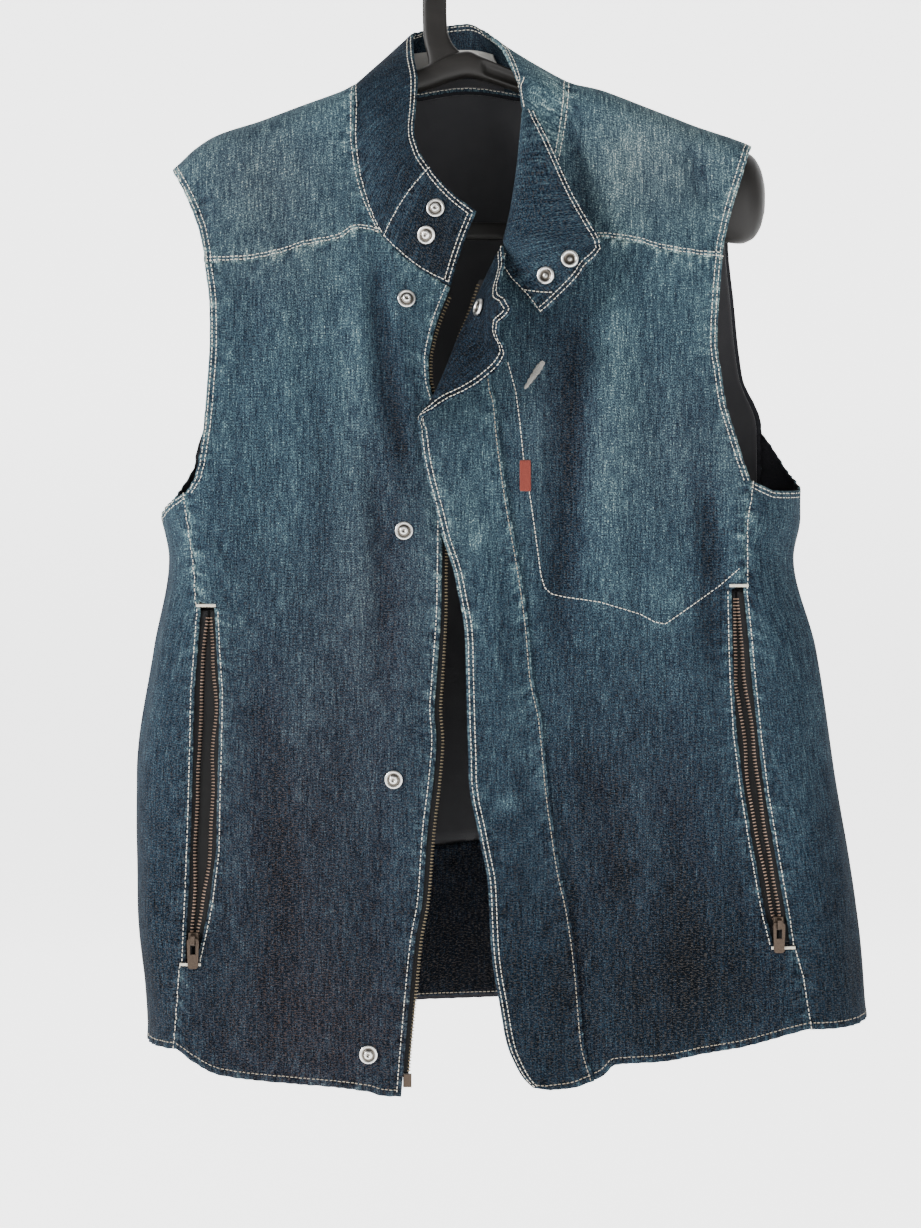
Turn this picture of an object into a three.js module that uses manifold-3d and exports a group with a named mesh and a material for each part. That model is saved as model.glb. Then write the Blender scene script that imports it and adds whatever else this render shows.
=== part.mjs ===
// Denim vest hanging open on a plastic hanger.
//
// Millimetres, +Z up. The origin is the inner top of the hanger's hook, +X is the viewer's
// right and +Y goes back towards the wall. Right and left name the wearer's sides, so the
// right front is at -X. The cloth follows one body form: a flat front and back joined by
// round sides, closed over the shoulders. Each panel is a patch of that form between its
// own cut edges, and what lies on a panel is the same patch moved out.

import * as THREE from 'three';
import { mergeVertices } from 'three/addons/utils/BufferGeometryUtils.js';
import Module from 'manifold-3d';

const wasm = await Module();
wasm.setup();

// Cloth and gaps
const DENIM = 2.0;
const COLLAR_CLOTH = 2.4;
const LINING = 1.0;
const TAPE = 0.9;
const SEAM_GAP = 0.22;
const LAY_GAP = 0.4;
const TAPE_GAP = 1.0;
const NECK_GAP = 1.8;

// The body form: sides turn over TURN, shoulders over a quarter arc of length SHOULDER_ARC
const TURN = 45;
const SHOULDER_ARC = 46;
const SHOULDER_DROP = 24;
const SHOULDER_SEAM = -14;
const BACK_SEAM_ANGLE = 2.55;

const RIGHT = -1;
const LEFT = 1;

// A smooth curve through the values that never swings past them
function curveThrough(keys, values) {
  const last = keys.length - 1;
  const slope = (i) => (values[i + 1] - values[i]) / (keys[i + 1] - keys[i]);
  const tangents = keys.map((_, i) => {
    if (i === 0) return slope(0);
    if (i === last) return slope(last - 1);
    const before = slope(i - 1);
    const after = slope(i);
    return before * after <= 0 ? 0 : (2 * before * after) / (before + after);
  });
  return (key) => {
    if (key <= keys[0]) return values[0];
    if (key >= keys[last]) return values[last];
    let i = 0;
    while (key > keys[i + 1]) i += 1;
    const step = keys[i + 1] - keys[i];
    const s = (key - keys[i]) / step;
    const rise = values[i + 1] - values[i];
    const curl = step * ((1 - s) * tangents[i] - s * tangents[i + 1]) - (1 - 2 * s) * rise;
    return values[i] + s * rise + s * (1 - s) * curl;
  };
}

// A table whose first column is the key; every other column becomes a curve of that key
function table(columns, rows) {
  const sorted = [...rows].sort((a, b) => a[0] - b[0]);
  const keys = sorted.map((row) => row[0]);
  const curves = {};
  columns.split(' ').slice(1).forEach((name, i) => {
    curves[name] = curveThrough(keys, sorted.map((row) => row[i + 1]));
  });
  return curves;
}

const BODY = table('z right left front back', [
  [-110, -225, 225, -30, 30],
  [-170, -232, 232, -34, 34],
  [-250, -232, 238, -46, 38],
  [-330, -228, 240, -54, 40],
  [-425, -222, 241, -60, 40],
  [-455, -217, 236, -61, 41],
  [-520, -228, 252, -62, 42],
  [-610, -240, 266, -64, 44],
  [-700, -240, 279, -66, 44],
  [-790, -232, 288, -68, 44],
  [-840, -230, 290, -68, 44],
]);

const RIDGE = table('x z', [
  [-215, -172], [-198, -156], [-182, -146], [-152, -136], [-123, -125], [-94, -114.6],
  [-81, -109], [-40, -93], [0, -84], [40, -93], [71, -106.6], [97, -113.2], [111, -118.3],
  [141, -130], [170, -141], [199, -151.3], [207, -155.6],
]);

// Largest folds: a line from its top to its foot, bowed sideways, with a rounded profile
const FRONT_FOLDS = [
  { top: [-78, -249], foot: [-76, -486], bow: 4, half: 10, height: 3.0 },
  { top: [-63, -249], foot: [-40, -402], bow: -5, half: 8, height: -3.5 },
  { top: [-74, -360], foot: [-56, -556], bow: 4, half: 9, height: -3.0 },
  { top: [-53, -255], foot: [-48, -346], bow: 0, half: 8, height: 2.5 },
  { top: [-150, -520], foot: [-128, -760], bow: 6, half: 14, height: -3.0 },
  { top: [80, -276], foot: [64, -528], bow: -3, half: 11, height: -5.5 },
  { top: [104, -262], foot: [96, -470], bow: 4, half: 13, height: 3.0 },
  { top: [165, -402], foot: [172, -535], bow: 3, half: 10, height: -4.5 },
  { top: [92, -591], foot: [103, -696], bow: 3, half: 14, height: -4.0 },
  { top: [150, -600], foot: [160, -780], bow: -5, half: 15, height: -3.0 },
  { top: [-192, -192], foot: [-186, -234], bow: 0, half: 7, height: -3.0 },
  { top: [76, -130], foot: [86, -228], bow: -3, half: 8, height: -3.5 },
  { top: [160, -158], foot: [170, -206], bow: 0, half: 9, height: -3.0 },
];

const BACK_FOLDS = [
  { top: [-120, -210], foot: [-96, -560], bow: 8, half: 16, height: -5.0 },
  { top: [-60, -180], foot: [-40, -420], bow: -5, half: 15, height: 3.5 },
  { top: [112, -200], foot: [92, -520], bow: -8, half: 16, height: -5.5 },
  { top: [30, -300], foot: [52, -700], bow: 6, half: 18, height: -4.0 },
  { top: [-150, -480], foot: [-160, -740], bow: 4, half: 16, height: 3.5 },
  { top: [165, -430], foot: [182, -730], bow: 6, half: 16, height: -4.0 },
];

// How far the folds push the cloth out of the body form at a point
function foldHeight(folds, x, z) {
  let height = 0;
  for (const fold of folds) {
    const s = (fold.top[1] - z) / (fold.top[1] - fold.foot[1]);
    const centre = fold.top[0] + s * (fold.foot[0] - fold.top[0]) + fold.bow * 4 * s * (1 - s);
    const across = (x - centre) / fold.half;
    const ends = THREE.MathUtils.smoothstep(s, -0.15, 0.25) - THREE.MathUtils.smoothstep(s, 0.7, 1.15);
    height += fold.height * ends * Math.exp(-across * across);
  }
  return height;
}

// The form's y at a point of its front (face -1) or back (face 1)
function bodyDepth(face, x, z) {
  const front = BODY.front(z);
  const back = BODY.back(z);
  const past = Math.max(0, BODY.right(z) + TURN - x, x - BODY.left(z) + TURN);
  const round = Math.sqrt(Math.max(0.0004, 1 - (past / TURN) ** 2));
  const folds = foldHeight(face < 0 ? FRONT_FOLDS : BACK_FOLDS, x, z);
  return (front + back) / 2 + face * (((back - front) / 2) * round + folds);
}

const frontForm = (x, z) => new THREE.Vector3(x, bodyDepth(-1, x, z), z);

// Distance t over the shoulder: 0 on the ridge, growing down the front, negative behind
function shoulderForm(x, t) {
  const ridge = RIDGE.z(x);
  const face = t < 0 ? 1 : -1;
  const fall = Math.abs(t);
  const hangs = ridge - SHOULDER_DROP;
  if (fall >= SHOULDER_ARC) {
    const z = hangs - (fall - SHOULDER_ARC);
    return new THREE.Vector3(x, bodyDepth(face, x, z), z);
  }
  const angle = (fall / SHOULDER_ARC) * (Math.PI / 2);
  const depth = bodyDepth(face, x, hangs) * Math.sin(angle);
  return new THREE.Vector3(x, depth, ridge - SHOULDER_DROP * (1 - Math.cos(angle)));
}

const frontFall = (x, z) => SHOULDER_ARC + RIDGE.z(x) - SHOULDER_DROP - z;
const backFall = (x, z) => -frontFall(x, z);

// The round side: angle 0 where the front turns, pi where the back begins
const turnStart = (side, z) => (side < 0 ? BODY.right(z) + TURN : BODY.left(z) - TURN);

const sideForm = (side) => (angle, z) => {
  const start = turnStart(side, z);
  if (angle <= 0) return frontForm(start + side * angle * TURN, z);
  const middle = (BODY.front(z) + BODY.back(z)) / 2;
  const half = (BODY.back(z) - BODY.front(z)) / 2;
  return new THREE.Vector3(
    start + side * TURN * Math.sin(angle), middle - half * Math.cos(angle), z);
};

function sideAngle(side, x, z) {
  const past = (side * (x - turnStart(side, z))) / TURN;
  return past < 0 ? past : Math.asin(past);
}

const backSeamX = (side, z) => turnStart(side, z) + side * TURN * Math.sin(BACK_SEAM_ANGLE);

// The outward normal of a form; facing is 1 where its two directions cross outwards
function normalOf(form, facing, p, q, step) {
  const alongP = form(p + step, q).sub(form(p - step, q));
  const alongQ = form(p, q + 0.5).sub(form(p, q - 0.5));
  return alongP.cross(alongQ).normalize().multiplyScalar(facing);
}

const moved = (form, facing, out, step = 0.5) => (p, q) =>
  form(p, q).addScaledVector(normalOf(form, facing, p, q, step), out);

const signedVolume = (positions, faces) => {
  let volume = 0;
  const at = (i) => new THREE.Vector3(positions[3 * i], positions[3 * i + 1], positions[3 * i + 2]);
  for (let f = 0; f < faces.length; f += 3) {
    volume += at(faces[f]).dot(at(faces[f + 1]).cross(at(faces[f + 2])));
  }
  return volume;
};

// A geometry from points and faces, turned so that its faces point out
function closedGeometry(points, faces) {
  const positions = points.flatMap((point) => [point.x, point.y, point.z]);
  const outward = signedVolume(positions, faces) > 0 ? faces : [...faces].reverse();
  const geometry = new THREE.BufferGeometry();
  geometry.setAttribute('position', new THREE.Float32BufferAttribute(positions, 3));
  geometry.setIndex(outward);
  geometry.computeVertexNormals();
  return geometry;
}

// A closed wall between two grids of points, closed along its four edges
function wall(outer, inner) {
  const rows = outer.length;
  const columns = outer[0].length;
  const points = [...outer.flat(), ...inner.flat()];
  const far = rows * columns;
  const at = (j, i) => j * columns + i;
  const faces = [];
  const quad = (a, b, c, d) => faces.push(a, b, c, a, c, d);
  for (let j = 0; j < rows - 1; j += 1) {
    for (let i = 0; i < columns - 1; i += 1) {
      const [a, b, c, d] = [at(j, i), at(j, i + 1), at(j + 1, i + 1), at(j + 1, i)];
      quad(a, b, c, d);
      faces.push(far + a, far + c, far + b, far + a, far + d, far + c);
    }
  }
  for (let j = 0; j < rows - 1; j += 1) {
    const [foot, head] = [at(j, 0), at(j + 1, 0)];
    quad(foot, head, far + head, far + foot);
    const [otherFoot, otherHead] = [at(j, columns - 1), at(j + 1, columns - 1)];
    quad(otherHead, otherFoot, far + otherFoot, far + otherHead);
  }
  for (let i = 0; i < columns - 1; i += 1) {
    quad(at(0, i + 1), at(0, i), far + at(0, i), far + at(0, i + 1));
    const [near, next] = [at(rows - 1, i), at(rows - 1, i + 1)];
    quad(near, next, far + next, far + near);
  }
  return closedGeometry(points, faces);
}

// A patch grid between four edges, each a list of [p, q]; opposite edges are equally long
function patch(bottom, top, left, right) {
  const across = top.map((at) => (at[0] - top[0][0]) / (top[top.length - 1][0] - top[0][0]));
  const up = left.map((at) => (at[1] - left[0][1]) / (left[left.length - 1][1] - left[0][1]));
  const last = top.length - 1;
  return up.map((t, j) => across.map((s, i) => [0, 1].map((k) =>
    (1 - t) * bottom[i][k] + t * top[i][k] + (1 - s) * left[j][k] + s * right[j][k]
    - (1 - s) * (1 - t) * bottom[0][k] - s * (1 - t) * bottom[last][k]
    - (1 - s) * t * top[0][k] - s * t * top[last][k])));
}

// The same points with the edges of their grid pulled in by a gap each
function pulledIn(points, gaps) {
  const result = points.map((row) => row.map((point) => point.clone()));
  const lastRow = points.length - 1;
  const lastColumn = points[0].length - 1;
  const pull = (j, i, towards, gap) => {
    const step = towards.clone().sub(points[j][i]);
    result[j][i].addScaledVector(step.normalize(), gap);
  };
  for (let j = 0; j <= lastRow; j += 1) {
    pull(j, 0, points[j][1], gaps.left ?? 0);
    pull(j, lastColumn, points[j][lastColumn - 1], gaps.right ?? 0);
  }
  for (let i = 0; i <= lastColumn; i += 1) {
    pull(0, i, points[1][i], gaps.bottom ?? 0);
    const topGap = Array.isArray(gaps.top) ? gaps.top[i] : (gaps.top ?? 0);
    pull(lastRow, i, points[lastRow - 1][i], topGap);
  }
  return result;
}

// A cloth wall on a form: its outer face lies out from the form, its inner face thick behind
function clothOn(grid, form, facing, out, thick, gaps = {}, step = 0.5) {
  const face = (distance) => pulledIn(
    grid.map((row) => row.map((at) => moved(form, facing, distance, step)(...at))), gaps);
  return wall(face(out), face(out - thick));
}

const spread = (from, to, count) =>
  Array.from({ length: count + 1 }, (_, i) => from + ((to - from) * i) / count);

const rescale = (values, from, to) => {
  const first = values[0];
  const span = values[values.length - 1] - first;
  return values.map((value) => from + ((to - from) * (value - first)) / span);
};

const flatStrip = (left, right, levels, columns) => levels.map((z) =>
  spread(0, 1, columns).map((s) => [left(z) + s * (right(z) - left(z)), z]));

// Colours of the finishes
const MATERIALS = {
  denim: { color: 0x33505f, roughness: 0.9, metalness: 0 },
  denimInside: { color: 0x2a3b47, roughness: 0.92, metalness: 0 },
  lining: { color: 0x1b1c20, roughness: 0.85, metalness: 0 },
  tape: { color: 0x17181b, roughness: 0.85, metalness: 0 },
  zipMetal: { color: 0x8a6a45, roughness: 0.45, metalness: 0.9 },
  snap: { color: 0xc4c2bb, roughness: 0.3, metalness: 0.95 },
  plastic: { color: 0x1c1b1a, roughness: 0.45, metalness: 0 },
  label: { color: 0xe8e4da, roughness: 0.8, metalness: 0 },
  tab: { color: 0x8a5a3c, roughness: 0.8, metalness: 0 },
};

const vest = new THREE.Group();

function add(name, geometry, finish) {
  const mesh = new THREE.Mesh(geometry, new THREE.MeshStandardMaterial(MATERIALS[finish]));
  mesh.name = name;
  vest.add(mesh);
  return mesh;
}

// Columns shared by a front and its yoke, and those along the front's neck
const YOKE_COLUMNS = 9;
const NECK_COLUMNS = 3;
const ARMHOLE_ROWS = 8;

// Right front: cut edges
const RIGHT_YOKE_SEAM = table('x z', [
  [-186.8, -246.5], [-159.9, -245.5], [-131.9, -239.9], [-117.9, -235], [-89.9, -228.7],
  [-82.9, -223.8], [-75.9, -222.4], [-68.9, -223.8], [-61.9, -225.9],
]);
const RIGHT_FRONT_NECK = table('x z', [
  [-61.9, -225.9], [-47.9, -240.6], [-30.4, -253.2], [-12.9, -263.7],
]);
const RIGHT_FRONT_ARMHOLE = table('z x', [
  [-246.5, -186.8], [-276, -183], [-304, -182.3], [-332, -183.7], [-360, -185.8],
  [-381, -188.6], [-398, -192], [-410, -199],
]);
const RIGHT_SIDE_SEAM = [
  { z: -799, front: -204.7, side: -204.7 },
  { z: -780, front: -202.5, side: -202.5 },
  { z: -761, front: -201, side: -201 },
  { z: -742, front: -199.5, side: -199.5 },
  { z: -737, front: -189, side: -197.5 },
  { z: -710, front: -183, side: -196.5 },
  { z: -696, front: -180.3, side: -195.8 },
  { z: -661, front: -176, side: -194.5 },
  { z: -626, front: -175.5, side: -193.5 },
  { z: -584, front: -174.5, side: -192.5 },
  { z: -549, front: -174, side: -192 },
  { z: -521, front: -176, side: -190 },
  { z: -491, front: -177.5, side: -188 },
  { z: -486, front: -189.5, side: -189.5 },
  { z: -465, front: -191, side: -191 },
  { z: -444, front: -194, side: -194 },
  { z: -410, front: -199, side: -199 },
];
const RIGHT_FRONT_EDGE = table('z x', [
  [-263.7, -12.9], [-277.7, -18.5], [-289.6, -22.7], [-303.6, -26.2], [-317.6, -28.3],
  [-331.6, -27.6], [-345.6, -24.1], [-373.6, -19.9], [-415.6, -18.5], [-485.6, -19.2],
  [-541.6, -22.7], [-562.6, -24.1], [-583.6, -22.7], [-611.6, -24.8], [-646.6, -29],
  [-695.6, -32.5], [-723.6, -37.4], [-765.6, -41.6], [-831.4, -47.2],
]);
const RIGHT_FRONT_HEM = table('x z', [
  [-204.7, -799], [-195, -805.5], [-174, -816], [-139, -821], [-93, -825], [-69, -828],
  [-58, -831], [-47.2, -831.4],
]);

// Left front: cut edges
const LEFT_YOKE_SEAM = table('x z', [
  [39.9, -226], [90.7, -228], [120, -232], [134, -236.4], [162, -241.3], [180, -243],
]);
const LEFT_FRONT_NECK = table('x z', [[15.1, -253], [25.7, -246], [39.9, -226]]);
const LEFT_FRONT_ARMHOLE = table('z x', [
  [-243, 180], [-276, 177], [-304, 175.5], [-325, 178], [-346, 181], [-367, 187],
  [-384, 192], [-402, 198],
]);
const LEFT_SIDE_SEAM = [
  { z: -784.5, front: 237, side: 237 },
  { z: -768, front: 234.2, side: 234.2 },
  { z: -749, front: 231.4, side: 231.4 },
  { z: -730, front: 226, side: 226 },
  { z: -726, front: 212.5, side: 224.5 },
  { z: -704, front: 207, side: 221.5 },
  { z: -690, front: 204.4, side: 219 },
  { z: -655, front: 198.2, side: 213.2 },
  { z: -620, front: 192.6, side: 207.3 },
  { z: -580, front: 187.7, side: 202.5 },
  { z: -545, front: 185.5, side: 199 },
  { z: -515, front: 184.7, side: 196.6 },
  { z: -478, front: 184, side: 192.8 },
  { z: -474, front: 193.4, side: 193.4 },
  { z: -452, front: 193.4, side: 193.4 },
  { z: -430, front: 193.6, side: 193.6 },
  { z: -402, front: 198, side: 198 },
];
const LEFT_FRONT_EDGE = table('z x', [
  [-253, 15.1], [-272, 9.5], [-286, 4.6], [-300, -1], [-314, -4], [-345, -5], [-405, -4],
  [-440, -1], [-472, 6.7], [-500, 12.3], [-528, 14.4], [-584, 14.4], [-626, 17.9],
  [-668, 26.3], [-696, 31.2], [-724, 31.2], [-766, 36.1], [-794, 43.1], [-813, 50.1],
]);
const LEFT_FRONT_HEM = table('x z', [
  [50.1, -813], [87.2, -819.5], [92, -818], [102.6, -809], [134, -807], [162, -802],
  [190, -797], [218, -789.4], [237, -784.5],
]);

// One front: its grid runs from the viewer's left to right and from hem to neck
function frontPanel(side) {
  const right = side < 0;
  const yokeSeam = right ? RIGHT_YOKE_SEAM : LEFT_YOKE_SEAM;
  const neck = right ? RIGHT_FRONT_NECK : LEFT_FRONT_NECK;
  const hem = right ? RIGHT_FRONT_HEM : LEFT_FRONT_HEM;
  const armhole = right ? RIGHT_FRONT_ARMHOLE : LEFT_FRONT_ARMHOLE;
  const opening = right ? RIGHT_FRONT_EDGE : LEFT_FRONT_EDGE;
  const seam = right ? RIGHT_SIDE_SEAM : LEFT_SIDE_SEAM;
  const [outerTop, neckCorner, openingTop] = right ? [-186.8, -61.9, -12.9] : [180, 39.9, 15.1];
  const [hemOuter, hemOpening] = right ? [-204.7, -47.2] : [237, 50.1];
  const underYoke = spread(outerTop, neckCorner, YOKE_COLUMNS).map((x) => [x, yokeSeam.z(x)]);
  const alongNeck = spread(neckCorner, openingTop, NECK_COLUMNS).slice(1).map((x) => [x, neck.z(x)]);
  const top = [...underYoke, ...alongNeck];
  const bottom = rescale(top.map((at) => at[0]), hemOuter, hemOpening).map((x) => [x, hem.z(x)]);
  const topZ = underYoke[0][1];
  const seamEdge = seam.map((row) => [row.front, row.z]);
  const armholeEdge = spread(seam[seam.length - 1].z, topZ, ARMHOLE_ROWS).slice(1)
    .map((z) => [armhole.x(z), z]);
  const outerEdge = [...seamEdge, ...armholeEdge];
  const openingLevels = rescale(outerEdge.map((at) => at[1]), hem.z(hemOpening), neck.z(openingTop));
  const openingEdge = openingLevels.map((z) => [opening.x(z), z]);
  const topGaps = top.map((_, i) => (i <= YOKE_COLUMNS ? SEAM_GAP : NECK_GAP));
  if (right) {
    const grid = patch(bottom, top, outerEdge, openingEdge);
    return clothOn(grid, frontForm, 1, 0, DENIM, { left: SEAM_GAP, top: topGaps });
  }
  const grid = patch(bottom.reverse(), top.reverse(), openingEdge, outerEdge);
  return clothOn(grid, frontForm, 1, 0, DENIM, { right: SEAM_GAP, top: topGaps.reverse() });
}

add('right_front', frontPanel(RIGHT), 'denim');
add('left_front', frontPanel(LEFT), 'denim');

// Yokes: from the seam on the front, over the ridge, to the shoulder seam behind it
const YOKE_ROWS = 11;
const RIGHT_YOKE_EDGES = table('t armhole neck', [
  [-14, -214, -79], [0, -215, -81.3], [20, -213, -81.5], [40, -208, -81.6],
  [64, -200, -81.6], [84, -193.5, -79.6], [101, -189.4, -76.6], [119, -186.8, -71.6],
  [133, -186.8, -66.5], [145, -186.8, -61.9],
]);
const LEFT_YOKE_EDGES = table('t neck armhole', [
  [-14, 69, 205.5], [0, 71, 206.5], [34, 69.5, 200.5], [56, 67.6, 195], [74, 64.9, 189.6],
  [95, 60.7, 184.3], [119.5, 53.2, 180], [138, 46.2, 180], [155, 39.9, 180],
]);

function yokePanel(side) {
  const right = side < 0;
  const edges = right ? RIGHT_YOKE_EDGES : LEFT_YOKE_EDGES;
  const seam = right ? RIGHT_YOKE_SEAM : LEFT_YOKE_SEAM;
  const ends = right ? [-186.8, -61.9] : [39.9, 180];
  const [leftEdge, rightEdge] = right ? ['armhole', 'neck'] : ['neck', 'armhole'];
  const seamLine = spread(ends[0], ends[1], YOKE_COLUMNS).map((x) => [x, frontFall(x, seam.z(x))]);
  const topEnds = [edges[leftEdge](SHOULDER_SEAM), edges[rightEdge](SHOULDER_SEAM)];
  const shoulder = spread(topEnds[0], topEnds[1], YOKE_COLUMNS).map((x) => [x, SHOULDER_SEAM]);
  const edgeLine = (name, start) => spread(start, SHOULDER_SEAM, YOKE_ROWS).map((t) => [edges[name](t), t]);
  const leftLine = edgeLine(leftEdge, seamLine[0][1]);
  const rightLine = edgeLine(rightEdge, seamLine[YOKE_COLUMNS][1]);
  const grid = patch(seamLine, shoulder, leftLine, rightLine);
  const gaps = { bottom: SEAM_GAP, top: SEAM_GAP, [right ? 'right' : 'left']: NECK_GAP };
  return clothOn(grid, shoulderForm, -1, 0, DENIM, gaps);
}

add('right_yoke', yokePanel(RIGHT), 'denim');
add('left_yoke', yokePanel(LEFT), 'denim');

// Back: one panel from the hem to the shoulder seams and the back of the neck
const BACK_ARMHOLE = table('t right left', [
  [-14, -214, 205.5], [-60, -196, 197], [-85, -190, 195.4], [-131, -188, 200],
  [-173, -188, 205], [-212, -190, 213], [-224, -193, 218], [-232, -196, 223],
]);
const BACK_NECK = table('x t', [
  [-79, -14], [-64, -27], [-35, -37], [0, -41], [34, -37], [58, -27], [69, -14],
]);
const BACK_HEM = table('x z', [[-212, -798], [-100, -790], [0, -785], [120, -782], [270, -782]]);
const BACK_SEAM_TOP = { right: -385, left: -360 };
const BACK_COLUMNS = { shoulder: 5, neck: 9 };
const BACK_ARMHOLE_ROWS = 8;

// Levels of the seam between a side panel and the back, one for each row of the front seam
function backLevels(side) {
  const [seam, hemZ, topZ] = side < 0
    ? [RIGHT_SIDE_SEAM, BACK_HEM.z(-212), BACK_SEAM_TOP.right]
    : [LEFT_SIDE_SEAM, BACK_HEM.z(270), BACK_SEAM_TOP.left];
  return rescale(seam.map((row) => row.z), hemZ, topZ);
}

function backEdge(side) {
  const name = side < 0 ? 'right' : 'left';
  const seam = backLevels(side).map((z) => {
    const x = backSeamX(side, z);
    return [x, backFall(x, z)];
  });
  const [cornerX, cornerFall] = seam[seam.length - 1];
  const armhole = spread(0, 1, BACK_ARMHOLE_ROWS).slice(1).map((s) => {
    const t = cornerFall + s * (SHOULDER_SEAM - cornerFall);
    const blend = THREE.MathUtils.smoothstep(s, 0, 0.2);
    return [cornerX + blend * (BACK_ARMHOLE[name](t) - cornerX), t];
  });
  return [...seam, ...armhole];
}

// Grid of the back from the hem to the neck
function backPanel() {
  const right = backEdge(RIGHT);
  const left = backEdge(LEFT);
  const rightTop = right[right.length - 1][0];
  const leftTop = left[left.length - 1][0];
  const shoulderRight = spread(rightTop, -79, BACK_COLUMNS.shoulder);
  const neck = spread(-79, 69, BACK_COLUMNS.neck).slice(1);
  const shoulderLeft = spread(69, leftTop, BACK_COLUMNS.shoulder).slice(1);
  const top = [...shoulderRight, ...neck, ...shoulderLeft].map((x) => [x, BACK_NECK.t(x)]);
  const bottom = rescale(top.map((at) => at[0]), right[0][0], left[0][0])
    .map((x) => [x, backFall(x, BACK_HEM.z(x))]);
  return patch(bottom, top, right, left);
}

const neckGaps = (shoulder, neck) => spread(0, 2 * BACK_COLUMNS.shoulder + BACK_COLUMNS.neck,
  2 * BACK_COLUMNS.shoulder + BACK_COLUMNS.neck).map((i) =>
  (i < BACK_COLUMNS.shoulder || i > BACK_COLUMNS.shoulder + BACK_COLUMNS.neck ? shoulder : neck));

const backGrid = backPanel();
const backGaps = { left: SEAM_GAP, right: SEAM_GAP, top: neckGaps(SEAM_GAP, NECK_GAP) };
add('back', clothOn(backGrid, shoulderForm, -1, 0, DENIM, backGaps), 'denim');

// Lining inside the back, and the denim facing below it, on the back's own grid
const FACING_ROWS = 6;
const FACING = 1.4;
const INSIDE_MARGIN = 3;
const INSIDE_BACK = -DENIM - 1.0;
const insideGaps = { left: INSIDE_MARGIN, right: INSIDE_MARGIN };
add('back_lining', clothOn(backGrid.slice(FACING_ROWS), shoulderForm, -1, INSIDE_BACK, LINING,
  { ...insideGaps, bottom: SEAM_GAP, top: INSIDE_MARGIN }), 'lining');
add('back_hem_facing', clothOn(backGrid.slice(0, FACING_ROWS + 1), shoulderForm, -1, INSIDE_BACK,
  FACING, { ...insideGaps, bottom: INSIDE_MARGIN, top: SEAM_GAP }), 'denimInside');

// Side panels: round the side from the front's seam to the back's
const SIDE_COLUMNS = 8;
const ANGLE_STEP = 0.01;
const SIDE_TOP = {
  right: table('angle z', [[0.3, -408], [0.485, -410], [1.57, -425], [2.3, -400], [2.55, -385]]),
  left: table('angle z', [[0.05, -402], [0.5, -409], [1.2, -407], [1.9, -394], [2.55, -360]]),
};
const SIDE_HEM = {
  right: table('angle z', [[0.2, -799], [1.5, -801], [2.55, -798]]),
  left: table('angle z', [[-0.2, -784.5], [1.5, -784], [2.55, -782]]),
};

function sidePanel(side) {
  const name = side < 0 ? 'right' : 'left';
  const seam = side < 0 ? RIGHT_SIDE_SEAM : LEFT_SIDE_SEAM;
  const frontEdge = seam.map((row) => [sideAngle(side, row.side, row.z), row.z]);
  const topAngle = frontEdge[frontEdge.length - 1][0];
  const top = spread(topAngle, BACK_SEAM_ANGLE, SIDE_COLUMNS).map((a) => [a, SIDE_TOP[name].z(a)]);
  top[0][1] = seam[seam.length - 1].z;
  const bottom = spread(frontEdge[0][0], BACK_SEAM_ANGLE, SIDE_COLUMNS)
    .map((a) => [a, SIDE_HEM[name].z(a)]);
  bottom[0][1] = seam[0].z;
  const backLine = backLevels(side).map((z) => [BACK_SEAM_ANGLE, z]);
  const grid = patch(bottom, top, frontEdge, backLine);
  const gaps = { left: SEAM_GAP, right: SEAM_GAP };
  return clothOn(grid, sideForm(side), side, 0, DENIM, gaps, ANGLE_STEP);
}

add('right_side', sidePanel(RIGHT), 'denim');
add('left_side', sidePanel(LEFT), 'denim');

// Placket over the left front: sewn along its seam, free towards the opening, and its top
// rolled outwards over a slanting line
const PLACKET_SEAM = table('z x', [
  [-256, 16.5], [-276, 14.4], [-311, 14.4], [-335, 15.8], [-346, 18.6], [-367, 20.7],
  [-409, 26.3], [-454, 34], [-500, 41], [-538, 44.5], [-570, 50.8], [-626, 56.4],
  [-668, 62.7], [-717, 71.8], [-752, 76.7], [-794, 80.2], [-819.5, 87.2],
]);
const PLACKET_EDGE = table('z x', [
  [-253, -33], [-262, -37], [-272, -41], [-286, -44], [-310, -44.5], [-340, -38.5],
  [-355, -36], [-368, -33], [-380, -30.4], [-405, -26.2],
  [-440, -17.8], [-472, -8], [-507, -1.7], [-556, -0.3], [-605, 0.4], [-647, 7.4],
  [-682, 14.4], [-724, 15.8], [-766, 21.4], [-794, 27.7], [-808, 33.3], [-817, 38.9],
  [-823, 45.2],
]);
const PLACKET_TOP = table('x z', [[-33, -253], [-10, -253], [16.5, -256]]);
const PLACKET_HEM = table('x z', [[45.2, -823], [57, -825], [71, -824.4], [87.2, -819.5]]);
const PLACKET_RISE = 7;
const ROLL_RADIUS = 5;
const ROLL_FOOT = new THREE.Vector2(-29, -369.4);
const ROLL_HEAD = new THREE.Vector2(23.5, -251.8);
const ROLL_DIRECTION = ROLL_HEAD.clone().sub(ROLL_FOOT).normalize();
// How far the cloth turns over that line, by the distance up along it
const ROLL_TURN = table('up degrees', [
  [0, 178], [50, 178], [62, 172], [70, 163], [78, 136], [86, 121], [95, 115], [105, 119],
  [130, 125],
]);
const PLACKET_COLUMNS = 10;

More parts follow.
